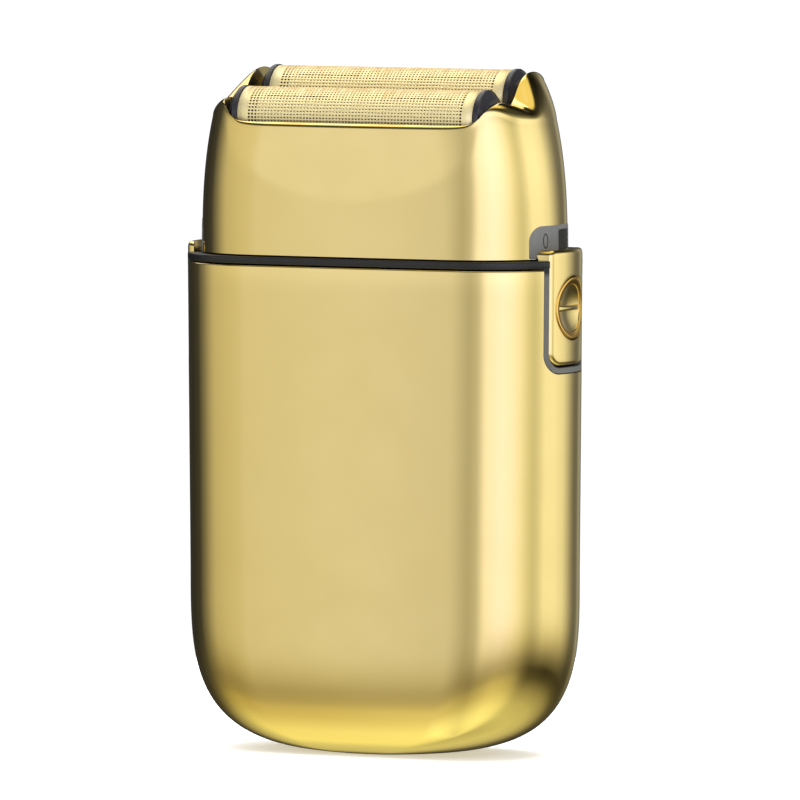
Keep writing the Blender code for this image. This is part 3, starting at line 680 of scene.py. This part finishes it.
def u_path(half, bottom, corner, top, runs=10, steps=10):
    """Points (y, z) down one side of a U, round its corners and up the other."""
    right = [(half, top + (bottom + corner - top) * k / runs) for k in range(runs)]
    right += [(half - corner * (1 - cos(bend)), bottom + corner * (1 - sin(bend)))
              for bend in quarter_turn(steps)]
    right += [((half - corner) * (1 - k / runs), bottom) for k in range(1, runs + 1)]
    return right + [(-y, z) for y, z in reversed(right[:-1])]


def make_seal_leg(name, side):
    """U of rubber round a side plate, flush with the casing."""
    half, bottom, corner = SEAL_U
    top, deep, edge = SEAL_BAND_LOW + 0.1, 2.0, 0.1
    outer = u_path(half, bottom, corner, top)
    inner = u_path(half - SEAL_LEG, bottom + SEAL_LEG, corner - SEAL_LEG, top)
    profile = ((0.0, deep), (0.0, edge), (edge, 0.0), (1 - edge, 0.0), (1.0, edge), (1.0, deep))
    rings = []
    for (oy, oz), (iy, iz) in zip(outer, inner):
        ring = []
        for share, drop in profile:
            y, z = oy + (iy - oy) * share, oz + (iz - oz) * share
            ring.append((side * (casing_side(y, z) - drop), y, z))
        rings.append(ring)
    dress(outward(loft("seal_" + name, rings)), "black_rubber", "handle")


# ---- side plates

def ray_ring(outline, centre, angles):
    """Where rays from a centre, at the given angles, leave a closed outline."""
    cy, cz = centre
    ring = []
    for angle in angles:
        dy, dz = cos(angle), sin(angle)
        for (ay, az), (by, bz) in zip(outline, outline[1:] + outline[:1]):
            ey, ez = by - ay, bz - az
            cross = dy * ez - dz * ey
            if abs(cross) < 1e-12:
                continue
            t = ((ay - cy) * ez - (az - cz) * ey) / cross
            s = ((ay - cy) * dz - (az - cz) * dy) / cross
            if t > 0 and -1e-9 <= s <= 1 + 1e-9:
                ring.append((cy + dy * t, cz + dz * t))
                break
    return ring


def curved_plate(name, side, outline_of, centre, hole_of, reach, thick, edge, back=None):
    """Plate that follows a curved side, with a rounded edge and a hole.

    outline_of and hole_of give the outlines for an inset and for a growth of the hole; back, if
    given, is (height, inner reach): above that height the plate is as deep as the inner reach.
    """
    full = outline_of(0.0)
    angles = [atan2(z - centre[1], y - centre[0]) for y, z in full]
    rings = []

    def ring(points, drop):
        rings.append([(side * (reach(y, z) - drop), y, z) for y, z in points])

    if back:
        level, inner = back

        def back_reach(y, z, more=0.0):
            return inner(y, z) if z > level else reach(y, z) - thick - more

        ring([(y, min(z, level - 0.05)) for y, z in outline_of(0.1)], thick)
        rings.append([(side * back_reach(y, z, 0.02), y, max(z, level) if z > level - 0.2 else z)
                      for y, z in outline_of(0.05)])
        rings.append([(side * back_reach(y, z), y, z) for y, z in full])
    else:
        ring(full, thick)
    for bend in quarter_turn(6):
        ring(outline_of(edge * (1 - cos(bend))), edge * (1 - sin(bend)))
    inset = rings[-1]
    hole_edge = 0.15
    rim = ray_ring(hole_of(hole_edge), centre, angles)
    for k in range(1, 9):
        share = k / 8
        ring([(p[1] + (q[0] - p[1]) * share, p[2] + (q[1] - p[2]) * share) for p, q in zip(inset, rim)], 0.0)
    for bend in quarter_turn(3)[1:]:
        ring(ray_ring(hole_of(hole_edge * (1 - sin(bend))), centre, angles), hole_edge * (1 - cos(bend)))
    ring(ray_ring(hole_of(0.0), centre, angles), thick)
    return outward(loft(name, rings, "tube", 50.0))


def make_side_plate(name, side, thick, body, node, back=None):
    centre = (0.0, DISC_Z)

    def outline_of(inset):
        return rounded_outline(PLATE_HALF - inset, PLATE_LOW.z + inset, PLATE_HIGH.z - inset,
                               *(corner - inset for corner in PLATE_CORNERS))

    def hole_of(grow):
        return circle(DISC_RADIUS + GAP + grow, centre)

    plate = curved_plate(name, side, outline_of, centre, hole_of, casing_side, thick, PLATE_EDGE, back)
    dress(plate, "gold", body, node)


def disc_rings(profile, side):
    """Rings about the disc's middle that follow the curved side; profile: radius, depth under it."""
    return [[(side * (casing_side(y, z) - depth), y, z) for y, z in circle(radius, (0.0, DISC_Z))]
            for radius, depth in profile]


def dish_depth(radius):
    """Depth of the thumb dish under the curved side."""
    return DISH_EDGE + (DISH_DEEP - DISH_EDGE) * (1 - (radius / DISH_RADIUS) ** 2)


def make_thumb_disc(name, side, body, node, ridged):
    """Coned ring, polished orange, round a concave dish."""
    rim, deep = DISC_RADIUS, 1.85
    lip = [(DISH_RADIUS - 0.3, deep), (DISH_RADIUS - 0.05, DISH_EDGE + 0.2), (DISH_RADIUS, DISH_EDGE),
           (DISH_RADIUS + 0.08, DISH_EDGE - 0.1), (4.15, 0.24), (4.45, 0.1), (4.75, 0.0), (4.95, 0.03),
           (rim - 0.03, 0.12), (rim, 0.25), (rim, deep)]
    ring = outward(loft(name, disc_rings(lip, side), "tube", 30.0))
    dress(ring, "bright_gold", body, node)
    steps = 14
    bowl = [(DISH_RADIUS * k / steps + 0.02 * (steps - k) / steps, dish_depth(DISH_RADIUS * k / steps))
            for k in range(steps + 1)]
    dish = outward(loft(name + "_dish", disc_rings(bowl + [(DISH_RADIUS, 1.7)], side), "caps", 40.0))
    dress(dish, "gold", body, slot="bright_gold")
    if ridged:
        make_ridge(name, side, body)


def make_ridge(name, side, body):
    """Round-topped bar across the dish for the thumb."""
    half, height, top, steps = DISH_RADIUS - 0.12, 0.52, 0.42, 24
    rings = []
    for j in range(25):
        y = -half + 2 * half * j / 24
        ring = []
        for k in range(steps + 1):
            angle = pi * k / steps - pi / 2
            rise = max(cos(angle), 0.0) ** 0.5
            deep = dish_depth(abs(y)) + 0.25
            ring.append((side * (casing_side(y, DISC_Z) - deep + (deep - top) * rise), y,
                         DISC_Z + height * sin(angle)))
        rings.append(ring)
    dress(outward(loft(name + "_ridge", rings, "caps", 60.0)), "gold", body, slot="bright_gold")


# ---- head

def head_column(index, bottom_rows=44, shoulder_rows=20):
    """One column of the head's skin, from its lower edge up, over the rim and down inside."""
    def skin(z, inset=(0.0, 0.0)):
        x, y = section_at(round(z, 3), inset)[index]
        if y < 0:
            y = min(y + scoop_depth(x, min(z, FRONT_EDGE)), 0.0)
        return x, y

    top_x, top_y = skin(FRONT_EDGE)
    rim_x, rim_y = opening_point(top_x, top_y)
    rim = rim_height(rim_x, rim_y)
    shoulder = shoulder_height(rim, hypot(top_x - rim_x, top_y - rim_y))
    power = shoulder_power(rim)
    column = []
    for k in range(bottom_rows + 1):
        z = HEAD_LOW.z + (shoulder - HEAD_LOW.z) * k / bottom_rows
        column.append((*skin(z), z))
    start_x, start_y, _ = column[-1]
    for angle in quarter_turn(shoulder_rows)[1:]:
        share = 1 - max(cos(angle), 0.0) ** (2 / power)
        column.append((start_x + (rim_x - start_x) * share, start_y + (rim_y - start_y) * share,
                       shoulder + (rim - shoulder) * sin(angle) ** (2 / power)))
    column += [(rim_x, rim_y, rim - 0.4), (rim_x, rim_y, GUIDE_LOW)]
    return column + [(*skin(z, HEAD_WALL), z) for z in (GUIDE_LOW - 2.2, 92.0, HEAD_LOW.z)]


@cache
def section_at(z, inset):
    """The head's outline at a height."""
    return section(head_half_width(z) - inset[0], head_half_depth(z) - inset[1], head_power(z))


def relaxed(columns, first=20, full=40, rounds=8, inner_rows=5):
    """Evens out neighbouring columns, from no effect at row first to the full one at row full."""
    last = len(columns[0]) - inner_rows
    shares = [min(max((k - first) / (full - first), 0.0), 1.0) if k <= last else 0.0
              for k in range(len(columns[0]))]
    for _ in range(rounds):
        left, right = columns[-1:] + columns[:-1], columns[1:] + columns[:1]
        columns = [[tuple(b + share * ((a + c) / 2 - b) / 2 for a, b, c in zip(p, q, r))
                    for p, q, r, share in zip(before, here, after, shares)]
                   for before, here, after in zip(left, columns, right)]
    return columns


def make_head_casing():
    columns = relaxed([head_column(index) for index in range(len(section_at(FRONT_EDGE, HEAD_WALL)))])
    casing = loft("gold_head", [list(ring) for ring in zip(*columns)], "tube", 60.0)
    dress(casing, "gold", "head", "head_casing")


def make_windows():
    """Grey inserts low on the head's sides, each with a slot; the right one has an off mark."""
    half, corner, proud = 7.5, 2.5, 0.12
    low, high = HEAD_LOW.z + 0.05, WINDOW_HIGH.z
    slot_y, slot_half = 1.9, 2.4
    slot_low, slot_high = WINDOW_LOW.z + 0.3, high - 0.8
    for name, side in (("switch_window", 1), ("release_window", -1)):
        centre = (slot_y, (slot_low + slot_high) / 2)

        def outline_of(inset):
            return rounded_outline(half - inset, low + inset, high - inset, 0.3, corner - inset)

        def hole_of(grow):
            return [(y + slot_y, z) for y, z in
                    rounded_outline(slot_half + grow, slot_low - grow, slot_high + grow, 0.35, 0.35)]

        def reach(y, z):
            return head_side(y, z) + proud

        insert = curved_plate("grey_" + name, side, outline_of, centre, hole_of, reach, 0.6, 0.1)
        dress(insert, "grey_plastic", "head", name)
        # Near-black block across each slot, its face just proud of the head: painted shade for the dark
        # recess, since the gold head under it has no hole.
        rings = []
        for k in range(13):
            y = slot_y + (slot_half + 0.1) * (k / 6 - 1)
            rings.append([(side * (head_side(y, z) + lift), y, z) for lift, z in
                          ((-0.4, slot_low - 0.1), (0.03, slot_low - 0.1), (0.03, slot_high + 0.1),
                           (-0.4, slot_high + 0.1))])
        dress(outward(loft(name + "_slot_painted_shade", rings)), "mark", "head", slot="dark_plastic")
    dress(make_off_mark((low + high) / 2 + 0.2, proud), "mark", "head", slot="dark_plastic")


def make_off_mark(level, proud):
    """Upright ring engraved beside the slot."""
    middle, half_y, half_z, line = -4.35, 0.50, 1.15, 0.10
    rings = []
    for k in range(64):
        angle = 2 * pi * k / 64
        ring = []
        for j in range(8):
            turn = 2 * pi * j / 8
            swell = line * cos(turn)
            y = middle + (half_y + swell) * cos(angle)
            z = level + (half_z + swell) * sin(angle)
            ring.append((head_side(y, z) + proud + 0.03 * sin(turn), y, z))
        rings.append(ring)
    return outward(loft("off_mark", rings, "tube"))


# ---- foils

def tilted_point(which, x, across, up):
    """Point of a foil's own frame, across and up its leaning arch, in the shared frame."""
    y, z = FOIL_CENTRES[which]
    return (x, y + across * cos(FOIL_TILT) - up * sin(FOIL_TILT),
            z + across * sin(FOIL_TILT) + up * cos(FOIL_TILT))


def tilted_ring(which, x, outline):
    return [tilted_point(which, x, across, up) for across, up in outline]


def arch_point(distance):
    """Point across and up the arch at a distance along its profile, from the front skirt's edge."""
    arc = pi * FOIL_RADIUS
    if distance <= FOIL_SKIRT:
        return -FOIL_RADIUS, distance - FOIL_SKIRT
    if distance >= FOIL_SKIRT + arc:
        return FOIL_RADIUS, FOIL_SKIRT + arc - distance
    angle = pi - (distance - FOIL_SKIRT) / FOIL_RADIUS
    return FOIL_RADIUS * cos(angle), FOIL_RADIUS * sin(angle)


def foil_hole(row, column, rows, columns):
    """Half length and half width of the hole in one cell of the foil's grid."""
    from_end = min(column, columns - 1 - column)
    if from_end < (3 if column < columns / 2 else 1):
        return 0.21, 0.17
    share = column / columns
    if row == DARK_ROW and (0.07 < share < 0.36 or 0.64 < share < 0.93):
        return 0.26, 0.15
    crown = abs(row + 0.5 - rows / 2) < rows * 0.2
    return (0.17, 0.13) if crown else (0.20, 0.085)


def make_foil(which, label):
    """Sheet with a hole in each cell of a fine grid, and plain bands at its ends and skirts."""
    rows, columns = FOIL_GRID
    row_low = FOIL_SKIRT - 0.4
    row_pitch = (pi * FOIL_RADIUS + 0.8) / rows
    column_low = -FOIL_HALF_LENGTH + FOIL_BAND
    column_pitch = 2 * (FOIL_HALF_LENGTH - FOIL_BAND) / columns
    verts, faces, seen = [], [], {}

    def vertex(x, distance):
        key = (round(x, 4), round(distance, 4))
        if key not in seen:
            seen[key] = len(verts)
            verts.append(tilted_point(which, x, *arch_point(distance)))
        return seen[key]

    def patch(x0, x1, low, high):
        faces.append((vertex(x0, low), vertex(x1, low), vertex(x1, high), vertex(x0, high)))

    compass = ((1, 0), (1, 1), (0, 1), (-1, 1), (-1, 0), (-1, -1), (0, -1), (1, -1))
    for row in range(rows):
        for column in range(columns):
            cx = column_low + (column + 0.5) * column_pitch
            cs = row_low + (row + 0.5) * row_pitch
            half_x, half_s = foil_hole(row, column, rows, columns)
            outer = [vertex(cx + a * column_pitch / 2, cs + b * row_pitch / 2) for a, b in compass]
            inner = [vertex(cx + half_x * cos(pi * k / 4), cs + half_s * sin(pi * k / 4)) for k in range(8)]
            for k in range(8):
                j = (k + 1) % 8
                faces.append((outer[k], outer[j], inner[j], inner[k]))
    stops = [row_low + row_pitch * k / 2 for k in range(2 * rows + 1)]
    edges = [column_low + column_pitch * k / 2 for k in range(2 * columns + 1)]
    for a, b in zip(stops, stops[1:]):
        patch(-FOIL_HALF_LENGTH, edges[0], a, b)
        patch(edges[-1], FOIL_HALF_LENGTH, a, b)
    edges = [-FOIL_HALF_LENGTH] + edges + [FOIL_HALF_LENGTH]
    for a, b in zip(edges, edges[1:]):
        patch(a, b, 0.0, row_low)
        patch(a, b, stops[-1], 2 * FOIL_SKIRT + pi * FOIL_RADIUS)
    foil = mesh_object("perforated_foil_" + label, verts, faces, 60.0)
    sheet = foil.modifiers.new("Sheet", "SOLIDIFY")
    sheet.thickness = FOIL_SHEET * MM
    sheet.offset = 1.0
    baked(foil)
    dress(foil, "foil_gold", label + "_foil", "foil_" + label)


def holder_outline(shrink, steps=40):
    arch, skirt = HOLDER_ARCH - shrink, HOLDER_SKIRT - shrink
    points = [(arch * cos(pi * k / steps), arch * sin(pi * k / steps)) for k in range(steps + 1)]
    points += [(-arch, -0.35), (-skirt, -0.45), (-skirt, -HOLDER_DEPTH), (skirt, -HOLDER_DEPTH),
               (skirt, -0.45), (arch, -0.35)]
    return points


def make_holder(which, label):
    """Arched ends with a raised band along the foil and a face that slopes away, and two rails."""
    stations = ((21.2, 0.18), (21.28, 0.05), (21.4, 0.0), (21.95, 0.0), (22.1, 0.08), (22.2, 0.3),
                (22.7, 0.75), (23.1, 1.25), (23.35, 1.8))
    pieces = []
    for side in (-1, 1):
        rings = [tilted_ring(which, side * x, holder_outline(shrink)) for x, shrink in stations]
        pieces.append(outward(loft("end", rings)))
        low, high = sorted((side * (FOIL_RADIUS + 0.2), side * HOLDER_SKIRT))
        rail = [(low, -HOLDER_DEPTH), (high, -HOLDER_DEPTH), (high, -0.5), (high - 0.05, -0.4),
                (low + 0.05, -0.4), (low, -0.5)]
        pieces.append(outward(loft("rail", [tilted_ring(which, x, rail) for x in (-21.6, 21.6)])))
    holder = join("holder_" + label, pieces)
    holder.data.shade_smooth()
    holder.data.set_sharp_from_angle(angle=radians(28))
    dress(holder, "dark_plastic", label + "_foil", "foil_holder_" + label)


def make_cutter(which, label):
    """Comb of thin arched blades on a base bar."""
    length, half, height = CUTTER_HALF
    blades, thick = 34, 0.42
    steps = 24
    arch = [(half * cos(pi * k / steps), height * sin(pi * k / steps)) for k in range(steps + 1)]
    pieces = []
    for k in range(blades):
        x = -length + thick / 2 + (2 * length - thick) * k / (blades - 1)
        rings = [[tilted_point(which, x + dx, y * scale, z * scale if z > 0.01 else z) for y, z in arch]
                 for dx, scale in ((-thick / 2, 0.985), (-thick / 2 + 0.05, 1.0),
                                   (thick / 2 - 0.05, 1.0), (thick / 2, 0.985))]
        pieces.append(outward(loft("blade", rings)))
    base = [(half * 0.9, 0.02), (half * 0.86, 1.0), (-half * 0.86, 1.0), (-half * 0.9, 0.02)]
    ends = (-length + 0.1, length - 0.1)
    pieces.append(outward(loft("base", [tilted_ring(which, x, base) for x in ends])))
    cutter = join("comb_cutter_" + label, pieces)
    dress(cutter, "steel", label + "_cutter", "cutter_" + label)


# ---- pieces kept from the frame

REFINED = {
    "foil_frame": 0.3, "switch_carriage": 0.4, "switch_body": 0.3, "release_latch": 0.4,
    "release_spring": 0.1, "cutter_carrier_front": 0.35, "cutter_carrier_rear": 0.35,
    "drive_arm_front": 0.25, "drive_arm_rear": 0.25, "drive_deck": 0.3, "motor_can": 0.4,
    "motor_end_cap": 0.3, "motor_bracket": 0.25, "inner_frame": 0.3, "battery_cell": 0.6,
    "battery_tab_top": 0.08, "battery_tab_bottom": 0.08, "battery_pad": 0.2, "circuit_board": 0.12,
    "charge_chip": 0.15, "charge_light": 0.12, "usb_socket": 0.06, "port_bezel": 0.12,
    "eccentric_cam": 0.15, "motor_shaft": 0.15, "deck_screw_1": 0.12, "deck_screw_2": 0.12,
    "deck_screw_3": 0.12, "deck_screw_4": 0.12, "cutter_spring_front": 0.0, "cutter_spring_rear": 0.0,
}


def refine(node, width):
    """Copy of a CAD node with its edges rounded, standing for the node."""
    obj = add_object(node + "_piece", NODES[node].data.copy())
    bm = bmesh.new()
    bm.from_mesh(obj.data)
    bmesh.ops.remove_doubles(bm, verts=bm.verts, dist=0.000005)
    bmesh.ops.dissolve_limit(bm, angle_limit=radians(1.0), verts=bm.verts, edges=bm.edges)
    bm.to_mesh(obj.data)
    bm.free()
    if width > 0:
        bevel = obj.modifiers.new("Edges", "BEVEL")
        bevel.width = width * MM
        bevel.segments = 2
        bevel.limit_method = "ANGLE"
        bevel.angle_limit = radians(40)
        bevel.use_clamp_overlap = True
        baked(obj)
    obj.data.shade_smooth()
    obj.data.set_sharp_from_angle(angle=radians(40))
    return obj


def squash_spring(spring):
    """Gives the spring, which rides on its cutter, a mesh of its own; its top along the cutter's axis is
    found but not used.
    """
    axis = Vector((0.0, -sin(FOIL_TILT), cos(FOIL_TILT)))
    top = max((v.co for v in spring.data.vertices), key=axis.dot).copy()
    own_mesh(spring)


def make_refined():
    slots = {entry["node"]: entry["material_slot"] for entry in frame["record"]["subparts"]}
    for node, width in REFINED.items():
        piece = dress(refine(node, width), slots[node], NODES[node]["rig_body"], node)
        if node.startswith("cutter_spring"):
            squash_spring(piece)


# ---- camera, floor and light

def make_camera():
    azimuth, elevation = radians(25.0), radians(4.0)
    distance = 2.0
    across, height, span = 0.00256, 0.0576, 0.1311
    right = Vector((cos(azimuth), sin(azimuth), 0.0))
    back = Vector((sin(azimuth) * cos(elevation), -cos(azimuth) * cos(elevation), sin(elevation)))
    target = right * across + Vector((0.0, 0.0, height))
    data = bpy.data.cameras.new("camera")
    camera = add_object("camera", data)
    camera.location = target + back * distance
    camera.rotation_euler = (-back).to_track_quat("-Z", "Y").to_euler()
    data.sensor_width = 36.0
    data.lens = data.sensor_width * distance / span
    data.clip_end = 50.0
    bpy.context.scene.camera = camera


def make_floor():
    radius, level, steps = 170.0, -0.02, 96
    ring = [(x, y, level) for x, y in circle(radius, steps=steps)]
    floor = mesh_object("floor", ring, [tuple(range(steps))])
    material = base_material("pale_floor", {"Base Color": (0.9, 0.9, 0.9, 1.0), "Roughness": 0.7,
                                            "Emission Color": (1.0, 1.0, 1.0, 1.0),
                                            "Emission Strength": 0.35})
    add_bump(material, (60.0,), 0.02, 0.0001)
    floor.data.materials.append(material)
    floor.visible_glossy = False


# Light round the horizon: degrees from the front towards the right, brightness, green and blue share
STUDIO = ((-180, 0.34, 1.0, 0.9), (-174, 0.31, 1.0, 0.9), (-166, 0.1), (-150, 0.04), (-118, 0.03),
          (-98, 0.05), (-84, 0.22, 0.97, 0.8), (-66, 0.56, 0.95, 0.72), (-48, 0.64, 0.95, 0.72),
          (-31, 0.69, 0.96, 0.78), (-27, 0.78, 1.0, 0.98), (-24, 0.8, 1.0, 1.05), (-21, 0.7), (-12, 0.58),
          (-3, 0.49, 1.0, 0.95), (7, 0.6), (17, 1.12, 1.0, 1.15), (36, 1.22, 1.0, 1.35),
          (50, 1.18, 1.0, 1.2), (61, 1.04), (72, 0.8, 1.0, 0.85), (80, 0.68, 1.0, 0.85),
          (88, 0.8, 1.0, 0.9), (98, 1.05, 1.0, 0.95), (116, 1.05, 1.0, 0.95), (134, 0.88, 1.0, 0.9),
          (146, 0.52, 1.0, 0.9), (158, 0.17), (168, 0.15), (175, 0.31, 1.0, 0.9), (180, 0.34, 1.0, 0.9))
# The same for what lies low, below the horizon
LOW_STUDIO = ((-180, 0.1), (-118, 0.1), (-98, 0.2), (-84, 0.35, 0.97, 0.8), (-66, 0.48, 0.95, 0.75),
              (-48, 0.52, 0.95, 0.78), (-31, 0.66, 0.97, 0.9), (-25, 0.78), (-12, 0.64), (-3, 0.5),
              (7, 0.4), (17, 0.48), (36, 0.64), (50, 0.58), (62, 0.44), (75, 0.17), (84, 0.08),
              (112, 0.05), (180, 0.1))
LOW_RANGE = (-8.0, -22.0)  # heights between which the two blend
# By height: degrees above the horizon, share of that light, green and blue share
HEIGHTS = ((-90, 0.7, 1.0, 0.55), (-62, 0.88, 1.0, 0.55), (-46, 0.86, 0.98, 0.53), (-34, 0.86, 0.91, 0.46),
           (-27, 0.99, 0.91, 0.47), (-22, 0.68, 0.91, 0.55), (-17, 0.59, 0.92, 0.66),
           (-11, 0.80, 0.96, 0.78), (-6, 0.99, 1.0, 0.98), (0, 1.02), (5, 1.13, 1.0, 1.02), (14, 1.08),
           (24, 0.30, 1.0, 0.9), (36, 0.06, 1.0, 0.9), (90, 0.03, 1.0, 0.9))
# Glow of the floor and of the lights overhead, the same all round
GLOW = ((-90, 0.5, 0.98, 0.52), (-62, 0.62, 0.98, 0.52), (-48, 0.52, 0.96, 0.5), (-36, 0.26, 0.93, 0.48),
        (-28, 0.03, 0.9, 0.48), (-24, 0.0), (52, 0.0), (60, 0.94, 0.84, 0.36), (78, 0.96, 0.84, 0.36),
        (90, 1.0, 0.88, 0.5))


def light_ramp(tree, place, name, stops, whole):
    """Colour ramp over a whole of so many degrees; a stop that gives no shares is neutral."""
    ramp = add_node(tree, "ValToRGB", {"Fac": place})
    ramp.name = name
    elements = ramp.color_ramp.elements
    while len(elements) < len(stops):
        elements.new(0.5)
    for element, (degree, level, *shares) in zip(elements, stops):
        green, blue = shares or (1.0, 1.0)
        element.position = degree / whole + 0.5
        element.color = (level, level * green, level * blue, 1.0)
    return ramp.outputs["Color"]


def make_world():
    """Studio as seen by the gold: soft boxes and dark gaps round the horizon, white to the camera."""
    world = bpy.data.worlds.new("studio")
    bpy.context.scene.world = world
    world.use_nodes = True
    tree = world.node_tree
    tree.nodes.clear()
    x, y, z = coordinate(tree, "Generated")
    turn = math_node(tree, "ARCTAN2", x, math_node(tree, "MULTIPLY", y, -1.0))
    around = math_node(tree, "MULTIPLY_ADD", turn, 1 / (2 * pi), 0.5)
    rise = math_node(tree, "MULTIPLY_ADD", math_node(tree, "ARCSINE", z), 1 / pi, 0.5)
    first, last = LOW_RANGE
    span = last - first
    share = math_node(tree, "MULTIPLY_ADD", rise, 180 / span, -(first + 90) / span)
    high = light_ramp(tree, around, "high", STUDIO, 360)
    low = light_ramp(tree, around, "low", LOW_STUDIO, 360)
    rings = add_node(tree, "MixRGB", {"Fac": share, "Color1": high, "Color2": low})
    light = rings
    for name, stops, operation in (("height", HEIGHTS, "MULTIPLY"), ("glow", GLOW, "ADD")):
        ramp = light_ramp(tree, rise, name, stops, 180)
        light = add_node(tree, "VectorMath", {0: light.outputs[0], 1: ramp}, operation)
    studio = add_node(tree, "Background", {"Color": light.outputs[0]})
    white = add_node(tree, "Background", {"Color": (1.0, 1.0, 1.0, 1.0), "Strength": 1.05})
    seen = studio
    path = add_node(tree, "LightPath")
    for rays in ("Is Diffuse Ray", "Is Camera Ray"):
        seen = add_node(tree, "MixShader", {0: path.outputs[rays], 1: seen.outputs[0], 2: white.outputs[0]})
    add_node(tree, "OutputWorld", {"Surface": seen.outputs[0]})


def make_softbox(name, location, size, power, reflected):
    data = bpy.data.lights.new(name, "AREA")
    data.shape = "RECTANGLE"
    data.size, data.size_y = size
    data.energy = power
    light = add_object(name, data)
    light.location = location
    light.visible_glossy = reflected
    aim = Vector((0.0, 0.0, 0.06)) - Vector(location)
    light.rotation_euler = aim.to_track_quat("-Z", "Y").to_euler()


def make_studio():
    make_camera()
    make_floor()
    make_world()
    make_softbox("overhead", (0.0, 0.1, 1.2), (1.2, 1.2), 20.0, False)
    make_softbox("edge_light", (-0.564, 0.473, 0.917), (1.1, 1.1), 4.8, True)
    bpy.context.scene.view_settings.view_transform = "Standard"
    bpy.context.scene.view_settings.look = "None"


make_studio()
make_casing()
make_seal()
make_side_plate("switch_plate", 1, PLATE_THICK, "power_switch", "power_switch_plate",
                (SEAL_HIGH.z + 0.15, lambda y, z: head_side(y, z) + 0.16))
make_side_plate("release_plate", -1, RELEASE_THICK, "release_button", "release_button_plate")
make_thumb_disc("switch_disc", 1, "power_switch", "switch_thumb_disc", True)
make_thumb_disc("release_disc", -1, "release_button", "release_thumb_disc", False)
make_head_casing()
make_windows()
for which, label in enumerate(("front", "rear")):
    make_foil(which, label)
    make_holder(which, label)
    make_cutter(which, label)
make_refined()
